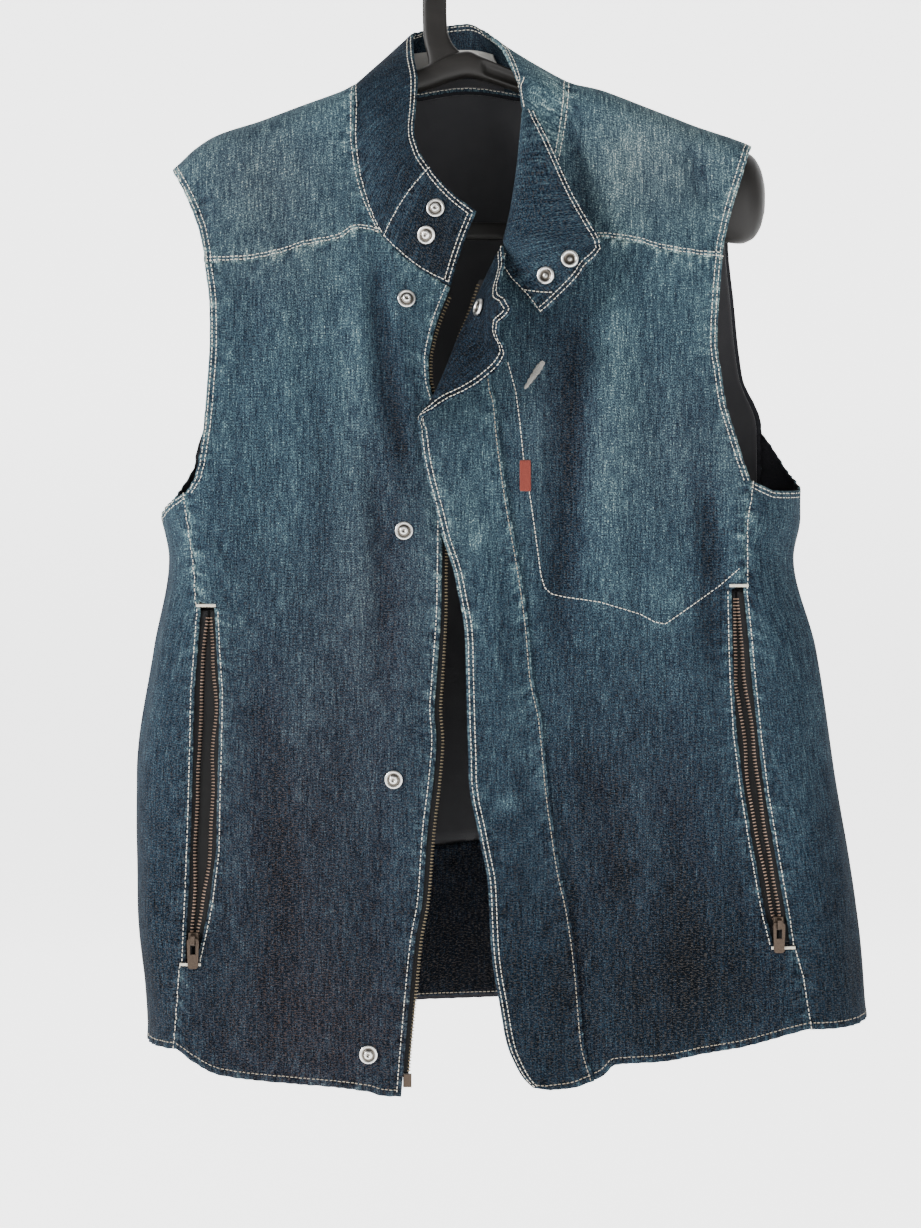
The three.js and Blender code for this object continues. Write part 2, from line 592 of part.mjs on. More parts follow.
// Flat placket point (x, z): lifted towards its free edge, and past the slanting line
// rolled outwards over an arc, from which it goes straight on
function placketForm(x, z) {
  const seam = PLACKET_SEAM.x(z);
  const share = THREE.MathUtils.clamp((seam - x) / (seam - PLACKET_EDGE.x(z)), 0, 1);
  const lift = LAY_GAP + DENIM + PLACKET_RISE * share ** 1.2;
  const fromFoot = new THREE.Vector2(x, z).sub(ROLL_FOOT);
  const past = fromFoot.y * ROLL_DIRECTION.x - fromFoot.x * ROLL_DIRECTION.y;
  if (past <= 0) return moved(frontForm, 1, lift)(x, z);
  const turn = THREE.MathUtils.degToRad(ROLL_TURN.degrees(fromFoot.dot(ROLL_DIRECTION)));
  const angle = Math.min(past / ROLL_RADIUS, turn);
  const flat = Math.max(0, past - turn * ROLL_RADIUS);
  const shift = ROLL_RADIUS * Math.sin(angle) + flat * Math.cos(turn) - past;
  const rise = ROLL_RADIUS * (1 - Math.cos(angle)) + flat * Math.sin(turn);
  const rolledX = x - shift * ROLL_DIRECTION.y;
  const rolledZ = z + shift * ROLL_DIRECTION.x;
  return moved(frontForm, 1, lift + rise)(rolledX, rolledZ);
}

const placketLevels = [...spread(-819.5, -420, 13), ...spread(-420, -256, 19).slice(1)];
const placketSeamLine = placketLevels.map((z) => [PLACKET_SEAM.x(z), z]);
const placketFreeLine = rescale(placketLevels, -823, -253).map((z) => [PLACKET_EDGE.x(z), z]);
const placketTop = spread(-33, 16.5, PLACKET_COLUMNS).map((x) => [x, PLACKET_TOP.z(x)]);
const placketHem = spread(45.2, 87.2, PLACKET_COLUMNS).map((x) => [x, PLACKET_HEM.z(x)]);
const placketGrid = patch(placketHem, placketTop, placketFreeLine, placketSeamLine);
add('left_placket', clothOn(placketGrid, placketForm, 1, 0, DENIM), 'denim');

// Collar: sections from the neck seam over a bend point to the free edge. Station u goes
// from the right front end round the neck to the left front end; lift stands its base off
// the body form.
const COLLAR = table('u neckX neckFall lift bendX bendY bendZ topX topY topZ', [
  [0, -13, 198.7, 0, -6, -57, -237, 5, -57, -213],
  [1, -30, 185.2, 0, -21, -59, -226, -13, -53, -198],
  [2, -48, 166, 0, -40, -57, -208, -26, -48, -182],
  [3, -62, 145.3, 0, -54, -54, -192, -36, -44, -165],
  [4, -72, 117.6, 0, -62, -48, -172, -39, -38, -150],
  [5, -78.7, 88.8, 0, -66, -40, -150, -38, -28, -132],
  [6, -81.6, 61.6, 0, -68, -28, -124, -37, -20, -110],
  [7, -81.6, 33, 0, -68, -10, -98, -40, -4, -88],
  [8, -81, 2, 0, -65, 10, -89, -41, 18, -66],
  [9, -64, -27, 0, -52, 26, -80, -34, 28, -60],
  [10, -35, -37, 0, -28, 32, -78, -18, 33, -55],
  [11, 0, -41, 0, 0, 34, -78, 0, 35, -52.5],
  [12, 34, -37, 0, 24, 32, -81, 11, 32, -58],
  [13, 58, -27, 0, 44, 16, -92, 16, 23, -65],
  [14, 71, 4, 0, 54, 4, -95, 24, -2, -80],
  [15, 69, 44, 0, 46, -36, -112, 35, -24, -110],
  [15.5, 66.3, 67, 0, 26, -48, -138, 45, -36, -134],
  [16, 61.3, 92, 0, 14, -60, -166, 57, -48, -161],
  [17, 48.6, 131, 0, 5, -68, -203, 74, -57, -201],
  [18, 34.5, 163, 0.5, 3, -72, -232, 85, -60, -221],
  [19, 25, 182.7, 4, 46, -75, -246, 92, -61, -234],
  [20, 51, 212.5, 16, 75, -72, -266, 93, -62, -241],
]);
const COLLAR_ROWS = 6;
const RIGHT_TAB_SEAM = { neck: 2.9, edge: 2.2 };
const LEFT_TAB_SEAM = 18.3;
const COLLAR_END = 20;

function collarForm(u, v) {
  const base = moved(shoulderForm, -1, COLLAR.lift(u) - DENIM / 2)(COLLAR.neckX(u), COLLAR.neckFall(u));
  const bend = new THREE.Vector3(COLLAR.bendX(u), COLLAR.bendY(u), COLLAR.bendZ(u));
  const top = new THREE.Vector3(COLLAR.topX(u), COLLAR.topY(u), COLLAR.topZ(u));
  return base.multiplyScalar((1 - v) ** 2)
    .addScaledVector(bend, 2 * v * (1 - v))
    .addScaledVector(top, v * v);
}

const COLLAR_STEP = 0.02;
function collarNormal(u, v) {
  const alongU = collarForm(u + COLLAR_STEP, v).sub(collarForm(u - COLLAR_STEP, v));
  const low = Math.max(0, v - COLLAR_STEP);
  const alongV = collarForm(u, v + COLLAR_STEP).sub(collarForm(u, low));
  return alongU.cross(alongV).normalize();
}

const collarMoved = (out) => (u, v) => {
  const inside = THREE.MathUtils.clamp(u, COLLAR_STEP, COLLAR_END - COLLAR_STEP);
  return collarForm(u, v).addScaledVector(collarNormal(inside, v), out);
};

// A collar piece between two stations, given for its neck edge and its free edge
function collarPiece(from, to, columns) {
  const grid = spread(0, 1, COLLAR_ROWS).map((v) => {
    const start = from.neck + v * (from.edge - from.neck);
    const end = to.neck + v * (to.edge - to.neck);
    return spread(start, end, columns).map((u) => [u, v]);
  });
  const face = (out) => grid.map((row) => row.map((at) => collarMoved(out)(...at)));
  return wall(face(COLLAR_CLOTH / 2), face(-COLLAR_CLOTH / 2));
}

const COLLAR_SPLIT = 0.04;
const straight = (u) => ({ neck: u, edge: u });
const beside = (seam, shift) => ({ neck: seam.neck + shift, edge: seam.edge + shift });
add('right_collar_tab', collarPiece(straight(0), beside(RIGHT_TAB_SEAM, -COLLAR_SPLIT), 6), 'denim');
const afterRightSeam = beside(RIGHT_TAB_SEAM, COLLAR_SPLIT);
const beforeLeftSeam = straight(LEFT_TAB_SEAM - COLLAR_SPLIT);
const afterLeftSeam = straight(LEFT_TAB_SEAM + COLLAR_SPLIT);
add('collar', collarPiece(afterRightSeam, beforeLeftSeam, 34), 'denim');
add('left_collar_tab', collarPiece(afterLeftSeam, straight(COLLAR_END), 10), 'denim');

const INSIDE_COLLAR = COLLAR_CLOTH / 2 + 0.7;
// What is sewn inside the collar at the back of the neck; the collar's normal points to the neck
function collarPatch(u0, u1, v0, v1, columns, thick) {
  const grid = [v0, v1].map((v) => spread(u0, u1, columns).map((u) => [u, v]));
  const face = (distance) => grid.map((row) => row.map((at) => collarMoved(distance)(...at)));
  return wall(face(INSIDE_COLLAR + thick), face(INSIDE_COLLAR));
}
add('neck_label', collarPatch(9.3, 11.9, 0.3, 0.7, 8, 0.8), 'label');
add('hang_loop', collarPatch(10.1, 11.8, 0.03, 0.15, 6, 1.2), 'lining');

// Zip tapes: thin strips behind the cloth's edge, out to the row of teeth
const BEHIND = -DENIM - TAPE_GAP;
const TAPE_UNDER = 9;
const tapeOn = (left, right, levels, out) =>
  clothOn(flatStrip(left, right, levels, 2), frontForm, 1, out, TAPE);

const RIGHT_TEETH_REACH = table('z reach', [
  [-266, 3], [-330, 2], [-458, 3.5], [-612, 5], [-766, 4.5], [-810, 4.5],
]);
const rightTeethX = (z) => RIGHT_FRONT_EDGE.x(z) + RIGHT_TEETH_REACH.reach(z);
add('right_front_zip_tape', tapeOn(
  (z) => RIGHT_FRONT_EDGE.x(z) - TAPE_UNDER, rightTeethX, spread(-816, -268, 22), BEHIND), 'tape');
const LEFT_TEETH_REACH = 6;
const leftTeethX = (z) => LEFT_FRONT_EDGE.x(z) - LEFT_TEETH_REACH;
add('left_front_zip_tape', tapeOn(
  leftTeethX, (z) => LEFT_FRONT_EDGE.x(z) + TAPE_UNDER, spread(-804, -258, 22), BEHIND), 'tape');

// A small block with its long edges chamfered, placed by its middle
function block(width, depth, height, chamfer) {
  const [w, d] = [width / 2, depth / 2];
  const outline = new THREE.Shape([
    [-w + chamfer, -d], [w - chamfer, -d], [w, -d + chamfer], [w, d - chamfer],
    [w - chamfer, d], [-w + chamfer, d], [-w, d - chamfer], [-w, -d + chamfer],
  ].map(([x, y]) => new THREE.Vector2(x, y)));
  const geometry = new THREE.ExtrudeGeometry(outline, { depth: height, bevelEnabled: false });
  return geometry.translate(0, 0, -height / 2);
}

const RETAINER = { width: 6, depth: 3.2, height: 9, z: -820.8 };
const retainerBox = block(RETAINER.width, RETAINER.depth, RETAINER.height, 0.6);
const retainer = add('zip_retainer_box', retainerBox, 'zipMetal');
const TAPE_FOOT = -816;
const retainerDepth = bodyDepth(-1, rightTeethX(TAPE_FOOT), TAPE_FOOT) + DENIM + LAY_GAP + TAPE / 2;
retainer.position.set(rightTeethX(RETAINER.z) - 0.8, retainerDepth, RETAINER.z);

// Pockets: a slot between the front and the side panel, zipped
const RIGHT_POCKET_TEETH = table('z side front', [
  [-498, -183.6, -180.0], [-514, -185.8, -178.8], [-528, -187, -178.3], [-556, -187.2, -176.6],
  [-584, -189.2, -178], [-612, -189.4, -178.4], [-640, -191, -179.4], [-671, -192.2, -180.8],
  [-696, -191.6, -184.6], [-716, -193.4, -188.6],
]);
const LEFT_POCKET_TEETH = table('z front side', [
  [-486, 186, 189], [-514, 186.4, 192], [-542, 186.8, 194.2], [-556, 189.2, 195.8],
  [-584, 192.2, 200.3], [-612, 195.1, 203.4], [-647, 200.6, 207.8], [-675, 206.2, 213],
  [-703, 211.8, 217.4], [-712, 214, 217.6],
]);
const POCKETS = [
  { name: 'right', side: RIGHT, teeth: RIGHT_POCKET_TEETH, seam: RIGHT_SIDE_SEAM,
    top: -493, foot: -735, slider: { x: -191.6, z: -722 } },
  { name: 'left', side: LEFT, teeth: LEFT_POCKET_TEETH, seam: LEFT_SIDE_SEAM,
    top: -480, foot: -724, slider: { x: 216.2, z: -711 } },
];
const POCKET_UNDER = 4;
const POCKET_ROWS = 14;
const TEETH_HALF = 0.6;

// Slider: a plate on the teeth with a bridge; the pull's top bar lies in the bridge's hole
const SLIDER = { width: 7, height: 9, depth: 3.6 };
const BRIDGE = { width: 3, wall: 1.2, hole: 3.4, length: 7.4 };
const PULL = { width: 8.4, length: 21, thick: 1.4, bar: 1.6, window: 3.8, windowLength: 9.5 };
const SLIDER_PROUD = 0.8;

const toSolid = (geometry) => {
  const bare = geometry.clone();
  bare.deleteAttribute('normal');
  bare.deleteAttribute('uv');
  const merged = mergeVertices(bare);
  return new wasm.Manifold(new wasm.Mesh({
    numProp: 3,
    vertProperties: new Float32Array(merged.attributes.position.array),
    triVerts: new Uint32Array(merged.index.array),
  }));
};
const toGeometry = (solid) => {
  const mesh = solid.getMesh();
  const geometry = new THREE.BufferGeometry();
  geometry.setAttribute('position', new THREE.BufferAttribute(Float32Array.from(mesh.vertProperties), 3));
  geometry.setIndex(Array.from(mesh.triVerts));
  geometry.computeVertexNormals();
  return geometry;
};

// The bridge's side view, as a frame with a square hole, pushed out across the slider
function bridgeGeometry() {
  const reach = BRIDGE.hole + BRIDGE.wall;
  const [low, high] = [-BRIDGE.length / 2, BRIDGE.length / 2];
  const outline = new THREE.Shape([[0.4, low], [0.4, high], [-reach + 1, high], [-reach, high - 1],
    [-reach, low + 1], [-reach + 1, low]].map(([y, z]) => new THREE.Vector2(y, z)));
  const half = BRIDGE.hole / 2;
  outline.holes.push(new THREE.Path([[-BRIDGE.hole, -half], [-BRIDGE.hole, half], [0, half], [0, -half]]
    .map(([y, z]) => new THREE.Vector2(y, z))));
  const geometry = new THREE.ExtrudeGeometry(outline, { depth: BRIDGE.width, bevelEnabled: false });
  geometry.translate(0, 0, -BRIDGE.width / 2);
  return geometry.applyMatrix4(new THREE.Matrix4().set(
    0, 0, 1, 0, 1, 0, 0, 0, 0, 1, 0, 0, 0, 0, 0, 1));
}

function sliderGeometry() {
  const plate = block(SLIDER.width, SLIDER.depth, SLIDER.height, 0.5).translate(0, SLIDER.depth / 2, 0);
  return toGeometry(toSolid(plate).add(toSolid(bridgeGeometry())));
}

// The pull hangs from its bar, which lies on the origin along X
function pullGeometry() {
  const half = PULL.width / 2;
  const foot = -PULL.length + PULL.bar / 2;
  const head = PULL.bar / 2;
  const outline = new THREE.Shape([[-half + 1.4, head], [-half, head - 1.4], [-half + 0.6, foot + 1.2],
    [-half + 1.8, foot], [half - 1.8, foot], [half - 0.6, foot + 1.2], [half, head - 1.4],
    [half - 1.4, head]].map(([x, z]) => new THREE.Vector2(x, z)));
  const inner = PULL.window / 2;
  const windowTop = -PULL.bar / 2;
  const windowFoot = windowTop - PULL.windowLength;
  outline.holes.push(new THREE.Path([[-inner, windowTop], [inner, windowTop], [inner, windowFoot],
    [-inner, windowFoot]].map(([x, z]) => new THREE.Vector2(x, z))));
  const geometry = new THREE.ExtrudeGeometry(outline, { depth: PULL.thick, bevelEnabled: false });
  geometry.translate(0, 0, -PULL.thick / 2);
  return geometry.rotateX(Math.PI / 2);
}

for (const pocket of POCKETS) {
  const levels = spread(pocket.foot, pocket.top, POCKET_ROWS);
  const seam = table('z front side', pocket.seam.map((row) => [row.z, row.front, row.side]));
  const under = (column, z) => seam[column](z) + (column === 'front' ? -1 : 1) * pocket.side * POCKET_UNDER;
  const teeth = (column, z) =>
    pocket.teeth[column](z) + (column === 'front' ? 1 : -1) * pocket.side * TEETH_HALF;
  const tape = (column) => (pocket.side * (column === 'front' ? 1 : -1) > 0
    ? [(z) => under(column, z), (z) => teeth(column, z)]
    : [(z) => teeth(column, z), (z) => under(column, z)]);
  const slotTape = (column, out) => tapeOn(...tape(column), levels, out);
  add(`${pocket.name}_pocket_front_tape`, slotTape('front', BEHIND), 'tape');
  add(`${pocket.name}_pocket_side_tape`, slotTape('side', BEHIND), 'tape');
  const bagEdges = [(z) => under('front', z), (z) => under('side', z)];
  if (pocket.side < 0) bagEdges.reverse();
  add(`${pocket.name}_pocket_bag`, tapeOn(...bagEdges, levels, BEHIND - TAPE - LAY_GAP), 'lining');
  const { x, z } = pocket.slider;
  const face = bodyDepth(-1, x, z - SLIDER.height) - SLIDER_PROUD;
  const slider = add(`${pocket.name}_pocket_slider`, sliderGeometry(), 'zipMetal');
  slider.position.set(x, face, z);
  const pull = add(`${pocket.name}_pocket_pull`, pullGeometry(), 'zipMetal');
  pull.position.set(x, face - BRIDGE.hole / 2, z);
}

// Snaps: a stud or socket cap turned round its axis and seated on the cloth
const SNAP_SIDES = 10;
const STUD = [[0, 0], [6.4, 0], [6.4, 1.2], [3.4, 1.0], [2.6, 2.8], [0, 3.2]];
const SOCKET = [[0, 0], [6.2, 0], [6.2, 1.6], [4.6, 2.0], [3.0, 0.8], [0, 0.7]];

function snap(name, profile, point, normal, gap) {
  const outline = profile.map(([r, height]) => new THREE.Vector2(r, height));
  const lathe = new THREE.LatheGeometry(outline, SNAP_SIDES);
  lathe.deleteAttribute('normal');
  lathe.deleteAttribute('uv');
  const merged = mergeVertices(lathe, 1e-4);
  const positions = merged.attributes.position;
  const points = Array.from({ length: positions.count }, (_, i) =>
    new THREE.Vector3().fromBufferAttribute(positions, i));
  const index = Array.from(merged.index.array);
  const faces = [];
  for (let f = 0; f < index.length; f += 3) {
    const [a, b, c] = index.slice(f, f + 3);
    if (a !== b && b !== c && a !== c) faces.push(a, b, c);
  }
  const mesh = add(name, closedGeometry(points, faces), 'snap');
  mesh.position.copy(point).addScaledVector(normal, gap);
  mesh.quaternion.setFromUnitVectors(new THREE.Vector3(0, 1, 0), normal);
}

// Each row ends with the gap that clears the cloth's folds under the snap
const FRONT_STUDS = [[-43.7, -273, 1], [-45.1, -437, 0], [-52.1, -611, 0.35], [-69.6, -802, 0.35]];
FRONT_STUDS.forEach(([x, z, gap], i) => {
  snap(`front_stud_${i + 1}`, STUD, frontForm(x, z), normalOf(frontForm, 1, x, z, 0.5), gap);
});

const COLLAR_STUDS = [[1.3, 0.7, 0.4], [1.32, 0.37, 0.4]];
COLLAR_STUDS.forEach(([u, v, gap], i) => {
  const outward = collarNormal(u, v).negate();
  snap(`collar_stud_${i + 1}`, STUD, collarMoved(-COLLAR_CLOTH / 2)(u, v), outward, gap);
});

const COLLAR_SOCKETS = [[19.45, 0.65, 0.4], [19.55, 0.33, 0.4]];
COLLAR_SOCKETS.forEach(([u, v, gap], i) => {
  snap(`collar_socket_${i + 1}`, SOCKET, collarMoved(COLLAR_CLOTH / 2)(u, v), collarNormal(u, v), gap);
});

// Placket sockets face the right front's studs from behind the placket
const PLACKET_SOCKETS = [[-14, -276, 0.4], [6, -437, 0.45], [21, -623, 0.3], [52, -802, 0.3]];
const placketBehind = moved(placketForm, 1, -DENIM);
PLACKET_SOCKETS.forEach(([x, z, gap], i) => {
  const inward = normalOf(placketForm, 1, x, z, 0.5).negate();
  snap(`placket_socket_${i + 1}`, SOCKET, placketBehind(x, z), inward, gap);
});

// A plain folded tab in the chest seam
const TAB = { left: 36.5, right: 43.5, top: -388, foot: -409, thick: 1.2 };
add('chest_tab', clothOn(
  flatStrip(() => TAB.left, () => TAB.right, spread(TAB.foot, TAB.top, 3), 2),
  frontForm, 1, LAY_GAP + TAB.thick, TAB.thick), 'tab');

// A solid through rings of points, closed at both ends
function loft(rings) {
  const sides = rings[0].length;
  const points = rings.flat();
  const faces = [];
  for (let j = 0; j < rings.length - 1; j += 1) {
    for (let i = 0; i < sides; i += 1) {
      const next = (i + 1) % sides;
      const [a, b] = [j * sides + i, j * sides + next];
      const [c, d] = [b + sides, a + sides];
      faces.push(a, b, c, a, c, d);
    }
  }
  const lastRing = (rings.length - 1) * sides;
  for (let i = 1; i < sides - 1; i += 1) {
    faces.push(0, i + 1, i);
    faces.push(lastRing, lastRing + i, lastRing + i + 1);
  }
  return closedGeometry(points, faces);
}

// Hanger arms: oval sections that widen towards the shoulders
const ARMS = table('x top bottom half', [
  [-197, -164, -182, 8], [-193, -159, -192, 14], [-180, -148.5, -205, 18], [-150, -138.3, -185, 18],
  [-110, -123.6, -150, 15], [-80, -112.2, -131, 12], [-37, -97, -113.5, 7.5], [-27, -92.7, -110, 7],
  [-13, -86, -105, 7], [0, -83.5, -102.3, 7], [9, -87.3, -103.8, 7], [16, -90.3, -105.8, 7],
  [27, -94.9, -109.5, 7], [40, -100, -114, 7.5], [71, -111, -126, 11], [110, -120.9, -146, 14],
  [150, -136.3, -178, 18], [185, -149.3, -222, 20],
  [200, -155.5, -224, 19], [208, -160, -221, 16], [214, -169, -213, 11], [217, -180, -202, 5],
]);
const ARM_SIDES = 14;
const ARM_STATIONS = [-197, -195, -192, -187, -180, -165, -150, -130, -110, -95, -80, -60, -37, -20,
  -10, 0, 9, 20, 35, 53, 71, 90, 110, 130, 150, 168, 185, 196, 204, 210, 214, 216, 217];

function armsGeometry(grown) {
  return loft(ARM_STATIONS.map((x) => {
    const top = ARMS.top(x) + grown;
    const bottom = ARMS.bottom(x) - grown;
    const half = ARMS.half(x) + grown;
    return spread(0, 1, ARM_SIDES).slice(1).map((s) => {
      const angle = s * 2 * Math.PI;
      const z = (top + bottom) / 2 + ((top - bottom) / 2) * Math.cos(angle);
      return new THREE.Vector3(x, half * Math.sin(angle), z);
    });
  }));
}

const HANGER_JOINT = 0.4;
const grownArms = toSolid(armsGeometry(HANGER_JOINT));
add('hanger_arms', armsGeometry(0), 'plastic');

// Trouser bar between the arms
const BAR = { from: -186, to: 190, top: -209, bottom: -221, half: 4 };
function barGeometry() {
  const middle = (BAR.top + BAR.bottom) / 2;
  const tall = (BAR.top - BAR.bottom) / 2;
  return loft([BAR.from, BAR.to].map((x) => spread(0, 1, 12).slice(1).map((s) => {
    const angle = s * 2 * Math.PI;
    return new THREE.Vector3(x, BAR.half * Math.sin(angle), middle + tall * Math.cos(angle));
  })));
}
add('hanger_bar', toGeometry(toSolid(barGeometry()).subtract(grownArms)), 'plastic');

// Hook: a stem that rises beside the load line and bends over it, so that it hangs from the
// inner top of its bend
const HOOK = { radius: 24.5, half: 8.8, tipHalf: 6, deep: 4.2, tipAngle: -40 };
// The stem leans in and widens as it comes down to the arms
const STEM = table('z x half', [
  [-98, -13, 17], [-92, -14, 15], [-85, -17.5, 12.5], [-78, -21.5, 10.2], [-68, -24, 9], [-56, -24.5, 8.8],
]);
const STEM_LEVELS = [-98, -92, -87, -82, -76, -68, -56, -36];
const hookCentre = new THREE.Vector2(0, HOOK.half - HOOK.radius);
const HOOK_SIDES = 10;

function hookGeometry() {
  const stations = [];
  for (const z of [...STEM_LEVELS, hookCentre.y]) {
    stations.push({ x: STEM.x(z), z, outX: -1, outZ: 0, half: STEM.half(z) });
  }
  const sweep = spread(180, HOOK.tipAngle, 20).slice(1);
  sweep.forEach((degrees, i) => {
    const angle = THREE.MathUtils.degToRad(degrees);
    const [outX, outZ] = [Math.cos(angle), Math.sin(angle)];
    const half = HOOK.half + (HOOK.tipHalf - HOOK.half) * Math.max(0, (i - 8) / (sweep.length - 9));
    stations.push({
      x: HOOK.radius * outX, z: hookCentre.y + HOOK.radius * outZ, outX, outZ, half,
    });
  });
  return loft(stations.map(({ x, z, outX, outZ, half }) => spread(0, 1, HOOK_SIDES).slice(1).map((s) => {
    const angle = s * 2 * Math.PI;
    const side = half * Math.cos(angle);
    return new THREE.Vector3(x + outX * side, HOOK.deep * Math.sin(angle), z + outZ * side);
  })));
}
add('hanger_hook', toGeometry(toSolid(hookGeometry()).subtract(grownArms)), 'plastic');

export default vest;
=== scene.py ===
"""A denim vest hanging open on a plastic hanger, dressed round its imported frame.

Lengths are in millimetres until a mesh is made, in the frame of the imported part: +X is the
viewer's right, +Y goes back and +Z up. Right and left name the wearer's sides.
"""
import math
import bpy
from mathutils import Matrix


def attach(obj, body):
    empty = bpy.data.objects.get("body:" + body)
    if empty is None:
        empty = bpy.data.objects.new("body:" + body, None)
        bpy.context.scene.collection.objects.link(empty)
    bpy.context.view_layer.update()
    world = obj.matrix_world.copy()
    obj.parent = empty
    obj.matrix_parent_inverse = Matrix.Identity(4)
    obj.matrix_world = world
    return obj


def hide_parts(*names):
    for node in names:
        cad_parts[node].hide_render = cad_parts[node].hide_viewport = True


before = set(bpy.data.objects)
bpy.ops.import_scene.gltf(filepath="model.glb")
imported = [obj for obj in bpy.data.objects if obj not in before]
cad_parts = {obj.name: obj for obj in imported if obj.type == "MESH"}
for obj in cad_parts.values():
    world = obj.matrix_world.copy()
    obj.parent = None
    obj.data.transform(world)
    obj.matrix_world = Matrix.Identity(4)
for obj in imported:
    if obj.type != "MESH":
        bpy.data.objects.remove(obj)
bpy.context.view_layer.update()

from types import SimpleNamespace

import bpy
import numpy as np

MM = 0.001
RIGHT, LEFT = -1, 1
NAMED_SIDES = ((RIGHT, "right"), (LEFT, "left"))
# The edge of a right or left panel that lies away from the middle, and the one towards it
OUTER_EDGE = {RIGHT: "left", LEFT: "right"}
MIDDLE_EDGE = {RIGHT: "right", LEFT: "left"}

# Cloth and gaps
DENIM = 2.0
COLLAR_CLOTH = 2.4
LINING = 1.0
TAPE = 0.9
SEAM_GAP = 0.22
LAY_GAP = 0.4
TAPE_GAP = 1.0
NECK_GAP = 0.5

# The body form
TURN = 45.0
SHOULDER_ARC = 46.0
SHOULDER_DROP = 24.0
SHOULDER_SEAM = -14.0
BACK_SEAM_ANGLE = 2.55
LEAST_ROUND = 0.0004
NUDGE = 0.5


def curve_through(keys, values):
    """A smooth curve through the values that never swings past them: a cubic between each
    two keys, whose slope at a key is the harmonic mean of the slopes beside it."""
    step = np.diff(keys)
    slope = np.diff(values) / step
    tangent = np.empty(len(keys))
    tangent[0], tangent[-1] = slope[0], slope[-1]
    same_way = slope[:-1] * slope[1:] > 0
    total = np.where(same_way, slope[:-1] + slope[1:], 1.0)
    tangent[1:-1] = np.where(same_way, 2 * slope[:-1] * slope[1:] / total, 0.0)

    def curve(key):
        key = np.clip(np.asarray(key, float), keys[0], keys[-1])
        i = np.clip(np.searchsorted(keys, key) - 1, 0, len(step) - 1)
        s = (key - keys[i]) / step[i]
        rise = values[i + 1] - values[i]
        curl = step[i] * ((1 - s) * tangent[i] - s * tangent[i + 1]) - (1 - 2 * s) * rise
        return values[i] + s * rise + s * (1 - s) * curl

    return curve


def table(columns, rows):
    """Curves named after the columns, each a function of the first column."""
    rows = np.array(sorted(rows), float)
    names = columns.split()[1:]
    return SimpleNamespace(**{
        name: curve_through(rows[:, 0], rows[:, i + 1]) for i, name in enumerate(names)})


def smooth_step(value, low, high):
    """0 below low and 1 above high, with an S between them: t * t * (3 - 2 t)."""
    t = np.clip((value - low) / (high - low), 0, 1)
    return t * t * (3 - 2 * t)


def unit(vectors):
    return vectors / np.maximum(np.linalg.norm(vectors, axis=-1, keepdims=True), 1e-12)


def stack(*parts):
    return np.stack(np.broadcast_arrays(*parts), axis=-1)


def full_turn(count):
    """Equal steps round a circle, in radians."""
    return np.arange(count) * 2 * math.pi / count


def spread(start, end, count):
    return np.linspace(start, end, count + 1)


BODY = table("z right left front back", [
    [-110, -225, 225, -30, 30],
    [-170, -232, 232, -34, 34],
    [-250, -232, 238, -46, 38],
    [-330, -228, 240, -54, 40],
    [-425, -222, 241, -60, 40],
    [-455, -217, 236, -61, 41],
    [-520, -228, 252, -62, 42],
    [-610, -240, 266, -64, 44],
    [-700, -240, 279, -66, 44],
    [-790, -232, 288, -68, 44],
    [-840, -230, 290, -68, 44],
])
RIDGE = table("x z", [
    [-215, -172], [-198, -156], [-182, -146], [-152, -136], [-123, -125], [-94, -114.6],
    [-81, -109], [-40, -93], [0, -84], [40, -93], [71, -106.6], [97, -113.2], [111, -118.3],
    [141, -130], [170, -141], [199, -151.3], [207, -155.6],
])

# Folds: top x, top z, foot x, foot z, bow, half width, height
FRONT_FOLDS = [
    [-78, -249, -76, -486, 4, 10, 3.0],
    [-63, -249, -40, -402, -5, 8, -3.5],
    [-74, -360, -56, -556, 4, 9, -3.0],
    [-53, -255, -48, -346, 0, 8, 2.5],
    [-150, -520, -128, -760, 6, 14, -3.0],
    [80, -276, 64, -528, -3, 11, -5.5],
    [104, -262, 96, -470, 4, 13, 3.0],
    [165, -402, 172, -535, 3, 10, -4.5],
    [92, -591, 103, -696, 3, 14, -4.0],
    [150, -600, 160, -780, -5, 15, -3.0],
    [-192, -192, -186, -234, 0, 7, -3.0],
    [76, -130, 86, -228, -3, 8, -3.5],
    [160, -158, 170, -206, 0, 9, -3.0],
]
BACK_FOLDS = [
    [-120, -210, -96, -560, 8, 16, -5.0],
    [-60, -180, -40, -420, -5, 15, 3.5],
    [112, -200, 92, -520, -8, 16, -5.5],
    [30, -300, 52, -700, 6, 18, -4.0],
    [-150, -480, -160, -740, 4, 16, 3.5],
    [165, -430, 182, -730, 6, 16, -4.0],
]

